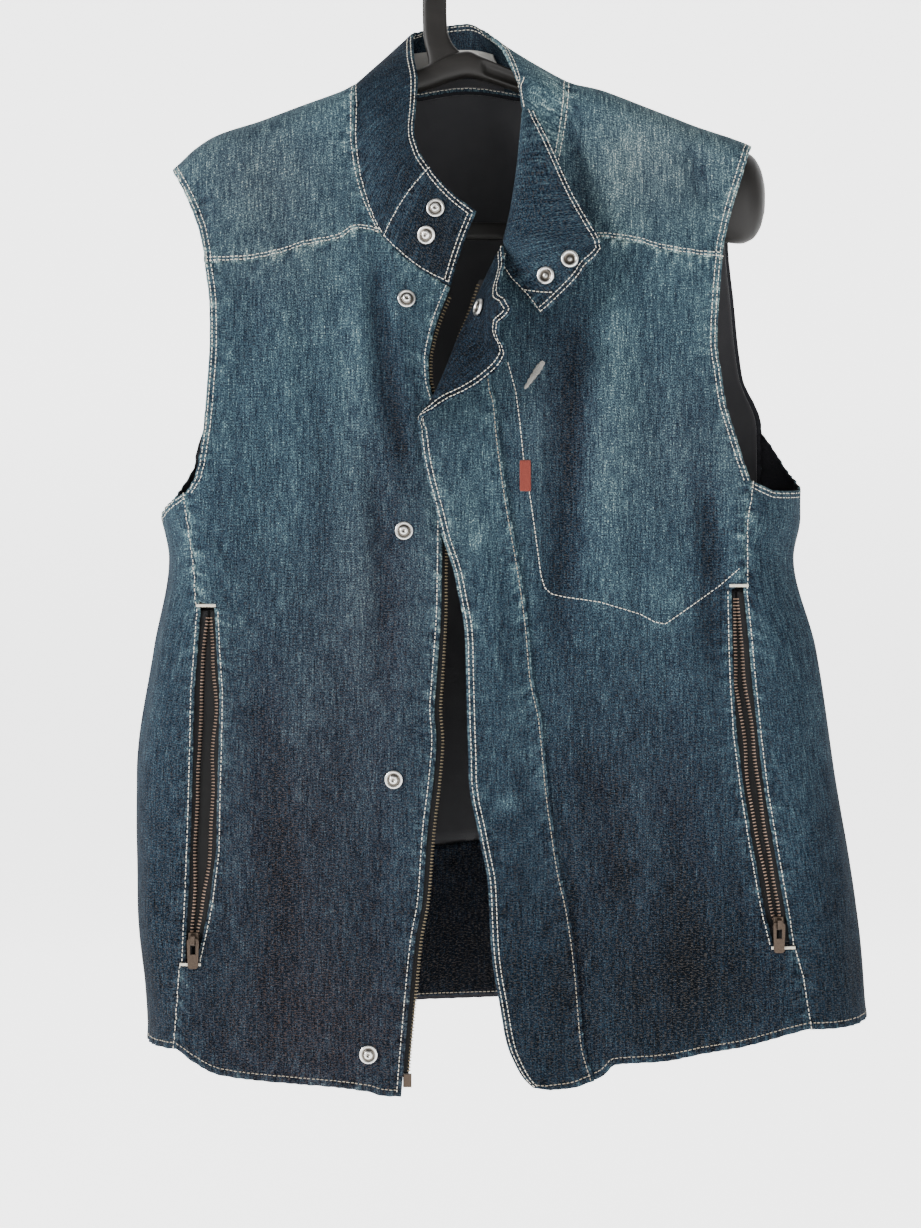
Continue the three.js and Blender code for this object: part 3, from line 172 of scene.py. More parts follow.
# Small creases, in the same columns
FRONT_CREASES = [
    [-150, -255, -160, -330, 3, 5, -0.8],
    [-128, -262, -118, -420, -4, 6, 0.9],
    [-112, -300, -100, -440, 5, 5, -0.9],
    [-140, -380, -152, -520, 4, 6, -0.8],
    [-170, -300, -166, -400, -3, 5, 0.8],
    [-96, -470, -88, -640, 5, 7, -1.1],
    [-120, -560, -104, -700, -6, 6, 0.9],
    [-60, -600, -72, -760, 4, 6, -1.0],
    [-160, -640, -150, -800, -4, 7, 1.0],
    [-84, -700, -100, -815, 3, 6, 0.9],
    [-36, -300, -34, -420, 2, 4, -0.8],
    [-38, -470, -50, -640, -3, 5, 0.8],
    [-190, -430, -160, -470, 4, 5, -1.2],
    [-186, -452, -140, -510, -5, 5, -0.9],
    [50, -290, 44, -420, 3, 4, 0.8],
    [62, -330, 56, -470, -3, 5, -0.9],
    [122, -262, 134, -420, 5, 7, -1.1],
    [140, -300, 148, -400, -3, 6, 0.8],
    [118, -430, 108, -560, 4, 7, -1.0],
    [150, -470, 130, -560, -5, 6, 0.8],
    [72, -540, 66, -700, 4, 5, 0.9],
    [122, -600, 134, -760, -4, 7, 1.0],
    [66, -620, 74, -780, 3, 5, -1.2],
    [176, -620, 190, -770, 4, 7, -1.0],
    [200, -700, 206, -780, 0, 6, 0.8],
    [96, -720, 90, -805, 3, 6, 0.9],
    [116, -740, 126, -800, -3, 6, -0.9],
    [-140, -180, -132, -235, 3, 6, -0.9],
    [-110, -160, -100, -225, -3, 5, 0.8],
    [-160, -170, -166, -240, 2, 6, 0.8],
    [100, -150, 108, -225, 3, 6, 0.9],
    [128, -165, 140, -235, -3, 7, -1.0],
    [60, -150, 58, -215, 2, 5, 0.7],
]
BACK_CREASES = [
    [-150, -240, -140, -400, 5, 7, 1.0],
    [-90, -300, -70, -520, -6, 8, -1.2],
    [-20, -190, -10, -400, 4, 8, 1.0],
    [10, -150, 20, -300, -4, 6, -0.9],
    [70, -200, 62, -420, 5, 7, 1.0],
    [140, -260, 128, -480, -5, 8, -1.2],
    [-120, -600, -130, -770, 4, 8, -1.2],
    [-20, -520, -30, -760, -5, 8, 1.1],
    [100, -560, 118, -770, 5, 8, 1.2],
    [150, -500, 140, -640, 3, 7, -1.0],
    [-170, -400, -150, -520, 4, 7, -1.0],
    [0, -420, 12, -600, 3, 6, -0.8],
    [-60, -640, -50, -780, 3, 7, 0.9],
    [200, -560, 210, -720, 4, 8, 1.0],
    [-190, -560, -196, -700, 3, 7, -0.9],
]

# Long waves of the hanging cloth: length along x, length along z, phase, height
WAVES = [
    [96, 310, 0.3, 0.42], [51, -210, 1.9, 0.26], [33, 140, 4.0, 0.15], [23, -86, 2.2, 0.09],
    [170, 74, 5.1, 0.20], [-64, 47, 0.9, 0.08],
]


def fold_height(folds, x, z):
    """How far the folds push the cloth out: each is a bell across its line, which bows
    sideways as a parabola, and fades in at its top and out at its foot."""
    height = 0.0
    for top_x, top_z, foot_x, foot_z, bow, half, high in folds:
        s = (top_z - z) / (top_z - foot_z)
        centre = top_x + s * (foot_x - top_x) + bow * 4 * s * (1 - s)
        ends = smooth_step(s, -0.15, 0.25) - smooth_step(s, 0.7, 1.15)
        height = height + high * ends * np.exp(-(((x - centre) / half) ** 2))
    return height


def waviness(x, z):
    """The sum of a few slanted sine waves of uneven lengths."""
    return sum(height * np.sin(2 * math.pi * (x / long_x + z / long_z) + phase)
               for long_x, long_z, phase, height in WAVES)


def body_depth(face, x, z):
    """The form's y on its front (face -1) or back (face 1): flat, with its sides turned round
    as a quarter circle's height, plus the folds, creases and waves."""
    front, back = BODY.front(z), BODY.back(z)
    past = np.maximum(0, np.maximum(BODY.right(z) + TURN - x, x - BODY.left(z) + TURN))
    round_off = np.sqrt(np.maximum(LEAST_ROUND, 1 - (past / TURN) ** 2))
    folds = FRONT_FOLDS + FRONT_CREASES if face < 0 else BACK_FOLDS + BACK_CREASES
    folds = fold_height(folds, x, z) + waviness(x + 40 * face, z)
    return (front + back) / 2 + face * (((back - front) / 2) * round_off + folds)


def front_form(x, z):
    return stack(x, body_depth(-1, x, z), z)


def shoulder_form(x, t):
    """Distance t over the shoulder: 0 on the ridge, growing down the front, negative behind.
    Near the ridge the cloth follows a quarter ellipse, then hangs on the body form."""
    ridge = RIDGE.z(x)
    fall = np.abs(t)
    hangs = ridge - SHOULDER_DROP
    angle = np.clip(fall / SHOULDER_ARC, 0, 1) * (math.pi / 2)
    z = np.where(fall >= SHOULDER_ARC, hangs - (fall - SHOULDER_ARC),
                 ridge - SHOULDER_DROP * (1 - np.cos(angle)))
    hung = np.minimum(z, hangs)
    depth = np.where(t < 0, body_depth(1, x, hung), body_depth(-1, x, hung))
    return stack(x, depth * np.sin(angle), z)


def front_fall(x, z):
    return SHOULDER_ARC + RIDGE.z(x) - SHOULDER_DROP - z


def turn_start(side, z):
    return BODY.right(z) + TURN if side < 0 else BODY.left(z) - TURN


# Creases round the sides: angle, top z, foot z, half width in mm, height
SIDE_CREASES = {
    RIGHT: [[1.0, -450, -620, 8, -1.6], [1.7, -440, -700, 9, 1.4], [0.55, -640, -780, 7, 1.2],
            [2.15, -520, -760, 8, -1.4], [1.3, -660, -790, 8, -1.2]],
    LEFT: [[0.9, -430, -600, 8, 1.4], [1.5, -450, -700, 10, -1.8], [0.45, -560, -740, 7, -1.3],
           [2.0, -430, -640, 8, 1.3], [1.2, -620, -770, 8, 1.3], [0.7, -700, -780, 6, -1.0]],
}


def side_form(side):
    """The round side: angle 0 where the front turns, pi where the back begins. A half
    ellipse between front and back, pushed out along itself by its creases."""
    def form(angle, z):
        start = turn_start(side, z)
        middle = (BODY.front(z) + BODY.back(z)) / 2
        half = (BODY.back(z) - BODY.front(z)) / 2
        crease = 0.0
        for at, top, foot, wide, high in SIDE_CREASES[side]:
            s = (top - z) / (top - foot)
            ends = smooth_step(s, -0.1, 0.3) - smooth_step(s, 0.7, 1.1)
            drift = at + 0.16 * np.sin(2.2 * s + at)
            crease = crease + high * ends * np.exp(-(((angle - drift) * TURN / wide) ** 2))
        crease = crease * smooth_step(angle, 0.05, 0.35)
        on_side = stack(start + side * (TURN + crease) * np.sin(angle),
                        middle - (half + crease) * np.cos(angle), z)
        flat = front_form(start + side * angle * TURN, z)
        return np.where((angle <= 0)[..., None], flat, on_side)
    return form


def side_angle(side, x, z):
    past = side * (x - turn_start(side, z)) / TURN
    return np.where(past < 0, past, np.arcsin(np.clip(past, 0, 1)))


def back_seam_x(side, z):
    return turn_start(side, z) + side * TURN * math.sin(BACK_SEAM_ANGLE)


def normal_of(form, facing, p, q, step=NUDGE):
    """The outward normal: the cross product of the form's two directions."""
    along_p = form(p + step, q) - form(p - step, q)
    along_q = form(p, q + NUDGE) - form(p, q - NUDGE)
    return unit(np.cross(along_p, along_q)) * facing


# Grids: arrays of (p, q) with rows from the foot up and columns along the edge

def patch(bottom, top, left, right):
    """A grid between four edges: the edges' blends across and up are added, and the corners'
    blend, counted twice, is taken away."""
    bottom, top, left, right = (np.asarray(edge, float) for edge in (bottom, top, left, right))
    s = ((top[:, 0] - top[0, 0]) / (top[-1, 0] - top[0, 0]))[None, :, None]
    t = ((left[:, 1] - left[0, 1]) / (left[-1, 1] - left[0, 1]))[:, None, None]
    sides = (1 - t) * bottom[None] + t * top[None] + (1 - s) * left[:, None] + s * right[:, None]
    corners = ((1 - s) * (1 - t) * bottom[0] + s * (1 - t) * bottom[-1]
               + (1 - s) * t * top[0] + s * t * top[-1])
    return sides - corners


def rescale(values, start, end):
    values = np.asarray(values, float)
    return start + (end - start) * (values - values[0]) / (values[-1] - values[0])


def refined(keys, step):
    """The keys with more between them, so that no step is longer than the one given."""
    parts = [np.linspace(a, b, max(2, int(abs(b - a) / step) + 2))[:-1]
             for a, b in zip(keys[:-1], keys[1:])]
    return np.append(np.concatenate(parts), keys[-1])


# Cut edges of the panels
RIGHT_YOKE_SEAM = table("x z", [
    [-186.8, -246.5], [-159.9, -245.5], [-131.9, -239.9], [-117.9, -235], [-89.9, -228.7],
    [-82.9, -223.8], [-75.9, -222.4], [-68.9, -223.8], [-61.9, -225.9]])
RIGHT_FRONT_NECK = table("x z", [
    [-61.9, -225.9], [-47.9, -240.6], [-30.4, -253.2], [-12.9, -263.7]])
RIGHT_FRONT_ARMHOLE = table("z x", [
    [-246.5, -186.8], [-276, -183], [-304, -182.3], [-332, -183.7], [-360, -185.8],
    [-381, -188.6], [-398, -192], [-410, -199]])
# Side seams: z, x on the front, x on the side panel; the pocket's slot is where they part
RIGHT_SIDE_SEAM = np.array([
    [-799, -204.7, -204.7], [-780, -202.5, -202.5], [-761, -201, -201], [-742, -199.5, -199.5],
    [-737, -189, -197.5], [-710, -183, -196.5], [-696, -180.3, -195.8], [-661, -176, -194.5],
    [-626, -175.5, -193.5], [-584, -174.5, -192.5], [-549, -174, -192], [-521, -176, -190],
    [-491, -177.5, -188], [-486, -189.5, -189.5], [-465, -191, -191], [-444, -194, -194],
    [-410, -199, -199]])
RIGHT_FRONT_EDGE = table("z x", [
    [-263.7, -12.9], [-277.7, -18.5], [-289.6, -22.7], [-303.6, -26.2], [-317.6, -28.3],
    [-331.6, -27.6], [-345.6, -24.1], [-373.6, -19.9], [-415.6, -18.5], [-485.6, -19.2],
    [-541.6, -22.7], [-562.6, -24.1], [-583.6, -22.7], [-611.6, -24.8], [-646.6, -29],
    [-695.6, -32.5], [-723.6, -37.4], [-765.6, -41.6], [-831.4, -47.2]])
RIGHT_FRONT_HEM = table("x z", [
    [-204.7, -799], [-195, -805.5], [-174, -816], [-139, -821], [-93, -825], [-69, -828],
    [-58, -831], [-47.2, -831.4]])
LEFT_YOKE_SEAM = table("x z", [
    [39.9, -226], [90.7, -228], [120, -232], [134, -236.4], [162, -241.3], [180, -243]])
LEFT_FRONT_NECK = table("x z", [[15.1, -253], [25.7, -246], [39.9, -226]])
LEFT_FRONT_ARMHOLE = table("z x", [
    [-243, 180], [-276, 177], [-304, 175.5], [-325, 178], [-346, 181], [-367, 187],
    [-384, 192], [-402, 198]])
LEFT_SIDE_SEAM = np.array([
    [-784.5, 237, 237], [-768, 234.2, 234.2], [-749, 231.4, 231.4], [-730, 226, 226],
    [-726, 212.5, 224.5], [-704, 207, 221.5], [-690, 204.4, 219], [-655, 198.2, 213.2],
    [-620, 192.6, 207.3], [-580, 187.7, 202.5], [-545, 185.5, 199], [-515, 184.7, 196.6],
    [-478, 184, 192.8], [-474, 193.4, 193.4], [-452, 193.4, 193.4], [-430, 193.6, 193.6],
    [-402, 198, 198]])
LEFT_FRONT_EDGE = table("z x", [
    [-253, 15.1], [-272, 9.5], [-286, 4.6], [-300, -1], [-314, -4], [-345, -5], [-405, -4],
    [-440, -1], [-472, 6.7], [-500, 12.3], [-528, 14.4], [-584, 14.4], [-626, 17.9],
    [-668, 26.3], [-696, 31.2], [-724, 31.2], [-766, 36.1], [-794, 43.1], [-813, 50.1]])
LEFT_FRONT_HEM = table("x z", [
    [50.1, -813], [87.2, -819.5], [92, -818], [102.6, -809], [134, -807], [162, -802],
    [190, -797], [218, -789.4], [237, -784.5]])
SIDE_SEAM = {RIGHT: RIGHT_SIDE_SEAM, LEFT: LEFT_SIDE_SEAM}
# The neck's edge slants, so it takes more columns than its width
NECK_SLANT = 1.3
# About how wide or long the cloth is, which sets how many cells a grid has
YOKE_WIDE, YOKE_LONG = 140, 165
SHOULDER_WIDE, NECK_WIDE, BACK_ARM_LONG, BACK_LEVEL = 135, 150, 230, 24
SIDE_WIDE, PLACKET_WIDE = 110, 56


def seam_x(side, column, z):
    seam = SIDE_SEAM[side]
    return np.interp(z, seam[:, 0], seam[:, column])


def front_grid(side, step):
    """The front between its hem, its side seam and armhole, its neck and its opening."""
    if side < 0:
        yoke_seam, neck, hem = RIGHT_YOKE_SEAM, RIGHT_FRONT_NECK, RIGHT_FRONT_HEM
        armhole, opening = RIGHT_FRONT_ARMHOLE, RIGHT_FRONT_EDGE
        outer_top, neck_corner, opening_top = -186.8, -61.9, -12.9
        hem_outer, hem_opening = -204.7, -47.2
    else:
        yoke_seam, neck, hem = LEFT_YOKE_SEAM, LEFT_FRONT_NECK, LEFT_FRONT_HEM
        armhole, opening = LEFT_FRONT_ARMHOLE, LEFT_FRONT_EDGE
        outer_top, neck_corner, opening_top = 180, 39.9, 15.1
        hem_outer, hem_opening = 237, 50.1
    seam = SIDE_SEAM[side]
    under = spread(outer_top, neck_corner, int(abs(neck_corner - outer_top) / step))
    neck_columns = int(NECK_SLANT * abs(opening_top - neck_corner) / step)
    along = spread(neck_corner, opening_top, neck_columns)[1:]
    top_x = np.append(under, along)
    top_z = np.append(yoke_seam.z(under), neck.z(along))
    bottom_x = rescale(top_x, hem_outer, hem_opening)
    seam_z = refined(seam[:, 0], step)
    arm_z = refined([seam[-1, 0], float(top_z[0])], step)[1:]
    outer_z = np.append(seam_z, arm_z)
    outer_x = np.append(np.interp(seam_z, seam[:, 0], seam[:, 1]), armhole.x(arm_z))
    opening_z = rescale(outer_z, float(hem.z(hem_opening)), float(neck.z(opening_top)))
    top, bottom = stack(top_x, top_z), stack(bottom_x, hem.z(bottom_x))
    outer, open_edge = stack(outer_x, outer_z), stack(opening.x(opening_z), opening_z)
    under_yoke = np.arange(len(top_x)) < len(under)
    if side < 0:
        return patch(bottom, top, outer, open_edge), np.where(under_yoke, SEAM_GAP, NECK_GAP)
    grid = patch(bottom[::-1], top[::-1], open_edge, outer)
    return grid, np.where(under_yoke, SEAM_GAP, NECK_GAP)[::-1]


YOKE_EDGES = {
    RIGHT: table("t armhole neck", [
        [-14, -214, -79], [0, -215, -81.3], [20, -213, -81.5], [40, -208, -81.6],
        [64, -200, -81.6], [84, -193.5, -79.6], [101, -189.4, -76.6], [119, -186.8, -71.6],
        [133, -186.8, -66.5], [145, -186.8, -61.9]]),
    LEFT: table("t neck armhole", [
        [-14, 69, 205.5], [0, 71, 206.5], [34, 69.5, 200.5], [56, 67.6, 195], [74, 64.9, 189.6],
        [95, 60.7, 184.3], [119.5, 53.2, 180], [138, 46.2, 180], [155, 39.9, 180]]),
}


def yoke_grid(side, step):
    """The yoke from the seam on the front, over the ridge, to the shoulder seam behind."""
    edges = YOKE_EDGES[side]
    if side < 0:
        seam, ends, first, last = RIGHT_YOKE_SEAM, (-186.8, -61.9), edges.armhole, edges.neck
    else:
        seam, ends, first, last = LEFT_YOKE_SEAM, (39.9, 180), edges.neck, edges.armhole
    columns, rows = int(YOKE_WIDE / step), int(YOKE_LONG / step)
    seam_x_line = spread(*ends, columns)
    seam_line = stack(seam_x_line, front_fall(seam_x_line, seam.z(seam_x_line)))
    shoulder_ends = float(first(SHOULDER_SEAM)), float(last(SHOULDER_SEAM))
    shoulder = stack(spread(*shoulder_ends, columns), SHOULDER_SEAM)
    first_t = spread(seam_line[0, 1], SHOULDER_SEAM, rows)
    last_t = spread(seam_line[-1, 1], SHOULDER_SEAM, rows)
    return patch(seam_line, shoulder, stack(first(first_t), first_t), stack(last(last_t), last_t))


BACK_ARMHOLE = table("t right left", [
    [-14, -214, 205.5], [-60, -196, 197], [-85, -190, 195.4], [-131, -188, 200],
    [-173, -188, 205], [-212, -190, 213], [-224, -193, 218], [-232, -196, 223]])
BACK_NECK = table("x t", [
    [-79, -14], [-64, -27], [-35, -37], [0, -41], [34, -37], [58, -27], [69, -14]])
BACK_HEM = table("x z", [[-212, -798], [-100, -790], [0, -785], [120, -782], [270, -782]])
BACK_HEM_END = {RIGHT: -212, LEFT: 270}
BACK_SEAM_TOP = {RIGHT: -385, LEFT: -360}
BACK_NECK_ENDS = (-79, 69)
FACING_ROWS = 6


def back_levels(side, levels):
    hem_z = float(BACK_HEM.z(BACK_HEM_END[side]))
    seam = SIDE_SEAM[side][:, 0]
    return hem_z + (BACK_SEAM_TOP[side] - hem_z) * (levels - seam[0]) / (seam[-1] - seam[0])


def back_grid(step):
    """The back from its hem to the shoulder seams and the neck. Gives the grid, where the
    neck's columns are, and how many rows the facing takes."""
    spans = len(RIGHT_SIDE_SEAM) - 1
    share = [np.linspace(i, i + 1, max(2, int(BACK_LEVEL / step) + 1))[:-1] for i in range(spans)]
    seam_share = np.append(np.concatenate(share), spans)
    arm_share = spread(0, 1, int(BACK_ARM_LONG / step))[1:]
    edges = {}
    for side, name in NAMED_SIDES:
        levels = np.interp(seam_share, np.arange(spans + 1), SIDE_SEAM[side][:, 0])
        z = back_levels(side, levels)
        x = back_seam_x(side, z)
        fall = -front_fall(x, z)
        t = fall[-1] + arm_share * (SHOULDER_SEAM - fall[-1])
        blend = smooth_step(arm_share, 0, 0.2)
        arm_x = x[-1] + blend * (getattr(BACK_ARMHOLE, name)(t) - x[-1])
        edges[side] = stack(np.append(x, arm_x), np.append(fall, t))
    right_top, left_top = edges[RIGHT][-1, 0], edges[LEFT][-1, 0]
    shoulder_columns = int(SHOULDER_WIDE / step)
    shoulder_right = spread(right_top, BACK_NECK_ENDS[0], shoulder_columns)
    neck = spread(*BACK_NECK_ENDS, int(NECK_WIDE / step))[1:]
    shoulder_left = spread(BACK_NECK_ENDS[1], left_top, shoulder_columns)[1:]
    top_x = np.concatenate([shoulder_right, neck, shoulder_left])
    bottom_x = rescale(top_x, edges[RIGHT][0, 0], edges[LEFT][0, 0])
    top = stack(top_x, BACK_NECK.t(top_x))
    bottom = stack(bottom_x, -front_fall(bottom_x, BACK_HEM.z(bottom_x)))
    is_neck = (top_x >= BACK_NECK_ENDS[0] - 0.01) & (top_x <= BACK_NECK_ENDS[1] + 0.01)
    facing_rows = int(np.argmin(np.abs(seam_share - FACING_ROWS)))
    return patch(bottom, top, edges[RIGHT], edges[LEFT]), is_neck, facing_rows


SIDE_TOP = {
    RIGHT: table("angle z", [[0.3, -408], [0.485, -410], [1.57, -425], [2.3, -400], [2.55, -385]]),
    LEFT: table("angle z", [[0.05, -402], [0.5, -409], [1.2, -407], [1.9, -394], [2.55, -360]]),
}
SIDE_HEM = {
    RIGHT: table("angle z", [[0.2, -799], [1.5, -801], [2.55, -798]]),
    LEFT: table("angle z", [[-0.2, -784.5], [1.5, -784], [2.55, -782]]),
}
ANGLE_STEP = 0.01


def side_grid(side, step):
    """The side panel round the side, from the front's seam to the back's."""
    seam = SIDE_SEAM[side]
    levels = refined(seam[:, 0], step)
    front = stack(side_angle(side, seam_x(side, 2, levels), levels), levels)
    columns = int(SIDE_WIDE / step)
    top_angle = spread(front[-1, 0], BACK_SEAM_ANGLE, columns)
    hem_angle = spread(front[0, 0], BACK_SEAM_ANGLE, columns)
    top = stack(top_angle, SIDE_TOP[side].z(top_angle))
    bottom = stack(hem_angle, SIDE_HEM[side].z(hem_angle))
    top[0, 1], bottom[0, 1] = levels[-1], levels[0]
    return patch(bottom, top, front, stack(BACK_SEAM_ANGLE, back_levels(side, levels)))


PLACKET_SEAM = table("z x", [
    [-236, 18.5], [-256, 16.5], [-276, 14.4], [-311, 14.4], [-335, 15.8], [-346, 18.6],
    [-367, 20.7], [-409, 26.3], [-454, 34], [-500, 41], [-538, 44.5], [-570, 50.8], [-626, 56.4],
    [-668, 62.7], [-717, 71.8], [-752, 76.7], [-794, 80.2], [-819.5, 87.2]])
PLACKET_EDGE = table("z x", [
    [-254.6, -57], [-258, -55.6], [-265.4, -49], [-273, -42], [-281, -38.5], [-289, -43.5],
    [-298, -44.4], [-310, -44.5], [-340, -38.5], [-355, -36], [-368, -33], [-380, -30.4],
    [-405, -26.2], [-440, -17.8], [-472, -8], [-507, -1.7], [-556, -0.3], [-605, 0.4],
    [-647, 7.4], [-682, 14.4], [-724, 15.8], [-766, 21.4], [-794, 27.7], [-808, 33.3],
    [-817, 38.9], [-823, 45.2]])
PLACKET_TOP = table("x z", [
    [-57, -254.6], [-47, -254.5], [-29.4, -256.7], [-15.7, -254.6], [-4.1, -248.3],
    [4.1, -243.1], [13.8, -238.8], [18.5, -236]])
PLACKET_HEM = table("x z", [[45.2, -823], [57, -825], [71, -824.4], [87.2, -819.5]])
PLACKET_RISE = 7.0
ROLL_RADIUS = 5.0
LEAN_START = 22.0
LEAN_SHARE = 0.32
ROLL_FOOT = np.array([-29.0, -369.4])
ROLL_HEAD = np.array([23.5, -251.8])
ROLL_DIRECTION = unit(ROLL_HEAD - ROLL_FOOT)
ROLL_TURN = table("up degrees", [
    [0, 178], [50, 178], [62, 172], [70, 163], [78, 136], [86, 121], [95, 115], [105, 119],
    [130, 125]])
PLACKET_FOLDS = [
    [10, -430, 20, -560, 3, 6, 1.0], [34, -470, 44, -640, 3, 4, -0.8],
    [22, -560, 34, -720, 4, 7, 1.1], [40, -690, 60, -800, 3, 6, 0.9],
    [14, -620, 30, -760, 2, 4, -0.8], [-6, -440, 4, -520, 2, 5, -0.9],
    [60, -740, 72, -815, 2, 4, -0.8], [-20, -400, -4, -450, 0, 5, 0.8],
]


def placket_form(x, z):
    """The placket rises from its seam towards its free edge. Past the slanting line it
    rolls outwards over an arc and then goes straight on, so that no length is lost, until it
    stands far out, where it leans back and rises more slowly."""
    seam = PLACKET_SEAM.x(z)
    share = np.clip((seam - x) / (seam - PLACKET_EDGE.x(z)), 0, 1)
    lift = LAY_GAP + DENIM + PLACKET_RISE * share ** 1.2 + fold_height(PLACKET_FOLDS, x, z)
    from_x, from_z = x - ROLL_FOOT[0], z - ROLL_FOOT[1]
    past = np.maximum(0, from_z * ROLL_DIRECTION[0] - from_x * ROLL_DIRECTION[1])
    up = from_x * ROLL_DIRECTION[0] + from_z * ROLL_DIRECTION[1]
    turn = np.radians(ROLL_TURN.degrees(up))
    angle = np.minimum(past / ROLL_RADIUS, turn)
    flat = np.maximum(0, past - turn * ROLL_RADIUS)
    shift = ROLL_RADIUS * np.sin(angle) + flat * np.cos(turn) - past
    rise = ROLL_RADIUS * (1 - np.cos(angle)) + flat * np.sin(turn)
    rise = rise - LEAN_SHARE * np.maximum(0, rise - LEAN_START)
    rolled_x = x - shift * ROLL_DIRECTION[1]
    rolled_z = z + shift * ROLL_DIRECTION[0]
    normal = normal_of(front_form, 1, rolled_x, rolled_z)
    return front_form(rolled_x, rolled_z) + normal * (lift + rise)[..., None]


def placket_grid(step):
    levels = np.append(refined([-819.5, -420], step), refined([-420, -236], 0.8 * step)[1:])
    free_z = rescale(levels, -823, -254.6)
    columns = int(PLACKET_WIDE / step)
    top_x, hem_x = spread(-57, 18.5, columns), spread(45.2, 87.2, columns)
    return patch(stack(hem_x, PLACKET_HEM.z(hem_x)), stack(top_x, PLACKET_TOP.z(top_x)),
                 stack(PLACKET_EDGE.x(free_z), free_z), stack(PLACKET_SEAM.x(levels), levels))


COLLAR = table("u neckX neckFall lift bendX bendY bendZ topX topY topZ", [
    [0, -13, 198.7, 0, -6, -57, -237, 5, -57, -213],
    [1, -30, 185.2, 0, -21, -59, -226, -13, -53, -198],
    [2, -48, 166, 0, -40, -57, -208, -26, -48, -182],
    [3, -62, 145.3, 0, -54, -54, -192, -36, -44, -165],
    [4, -72, 117.6, 0, -62, -48, -172, -39, -38, -150],
    [5, -78.7, 88.8, 0, -66, -40, -150, -38, -28, -132],
    [6, -81.6, 61.6, 0, -68, -28, -124, -37, -20, -110],
    [7, -81.6, 33, 0, -68, -10, -98, -40, -4, -88],
    [8, -81, 2, 0, -65, 10, -89, -41, 18, -66],
    [9, -64, -27, 0, -52, 26, -80, -34, 28, -60],
    [10, -35, -37, 0, -28, 32, -78, -18, 33, -55],
    [11, 0, -41, 0, 0, 34, -78, 0, 35, -52.5],
    [12, 34, -37, 0, 24, 32, -81, 11, 32, -58],
    [13, 58, -27, 0, 44, 16, -92, 16, 23, -65],
    [14, 71, 4, 0, 54, 4, -95, 24, -2, -80],
    [15, 69, 44, 0, 46, -36, -112, 35, -24, -110],
    [15.15, 68.4, 51, 0, 33, -41, -120, 38, -27.5, -117],
    [15.5, 66.3, 67, 0, 26, -48, -138, 45, -36, -134],
    [16, 61.3, 92, 0, 14, -60, -166, 57, -48, -161],
    [17, 48.6, 131, 0, 5, -68, -203, 74, -57, -201],
    [18, 34.5, 163, 0.5, 3, -72, -232, 85, -60, -221],
    [19, 25, 182.7, 4, 46, -75, -246, 92, -61, -234],
    [20, 51, 212.5, 16, 75, -72, -266, 93, -62, -241],
])
RIGHT_TAB_SEAM = (2.9, 2.2)
LEFT_TAB_SEAM = 18.3
COLLAR_END = 20.0
COLLAR_STEP = 0.02
COLLAR_SPLIT = 0.006


def collar_form(u, v):
    """Each section of the collar is a curve from the neck seam, drawn towards a bend point,
    to the free edge: (1 - v)^2 base + 2 v (1 - v) bend + v^2 top."""
    neck = COLLAR.neckX(u), COLLAR.neckFall(u)
    lift = (COLLAR.lift(u) - DENIM / 2)[..., None]
    base = shoulder_form(*neck) + normal_of(shoulder_form, -1, *neck) * lift
    bend = stack(COLLAR.bendX(u), COLLAR.bendY(u), COLLAR.bendZ(u))
    top = stack(COLLAR.topX(u), COLLAR.topY(u), COLLAR.topZ(u))
    v = np.asarray(v)[..., None]
    return base * (1 - v) ** 2 + bend * (2 * v * (1 - v)) + top * v ** 2


def collar_normal(u, v):
    u = np.clip(u, COLLAR_STEP, COLLAR_END - COLLAR_STEP)
    along_u = collar_form(u + COLLAR_STEP, v) - collar_form(u - COLLAR_STEP, v)
    along_v = collar_form(u, v + COLLAR_STEP) - collar_form(u, np.maximum(0, v - COLLAR_STEP))
    return unit(np.cross(along_u, along_v))


# Cloth: points, distances to the sewn edges and the puckers beside them

def pulled_in(points, gaps):
    """The grid's edges moved towards the next row or column by a gap each."""
    result = points.copy()
    for name, edge, beside in (
            ("left", np.s_[:, 0], np.s_[:, 1]), ("right", np.s_[:, -1], np.s_[:, -2]),
            ("bottom", np.s_[0], np.s_[1]), ("top", np.s_[-1], np.s_[-2])):
        gap = np.asarray(gaps.get(name, 0.0))
        result[edge] += unit(points[beside] - points[edge]) * (gap[..., None] if gap.ndim else gap)
    return result


def travelled(points, axis):
    """Distance along the grid lines from the first point of each."""
    step = np.linalg.norm(np.diff(points, axis=axis), axis=-1)
    start = np.zeros_like(np.take(step, [0], axis=axis))
    return np.cumsum(np.concatenate([start, step], axis=axis), axis=axis)


def edge_fields(points, names):
    """For each named edge, each point's distance from it and how far along it lies."""
    across, up = travelled(points, 1), travelled(points, 0)
    fields = {
        "left": (across, up[:, :1]), "right": (across[:, -1:] - across, up[:, -1:]),
        "bottom": (up, across[:1]), "top": (up[-1:] - up, across[-1:]),
    }
    return {name: tuple(np.broadcast_arrays(*fields[name])) for name in names}


def ripple(run, length, seed):
    """A sine whose phase drifts, so that no two puckers are alike."""
    turn = 2 * math.pi * run / length
    drift = 1.4 * np.sin(turn / 3.7 + seed) + 0.9 * np.sin(turn / 8.3 + 2 * seed)
    return np.sin(turn + drift)


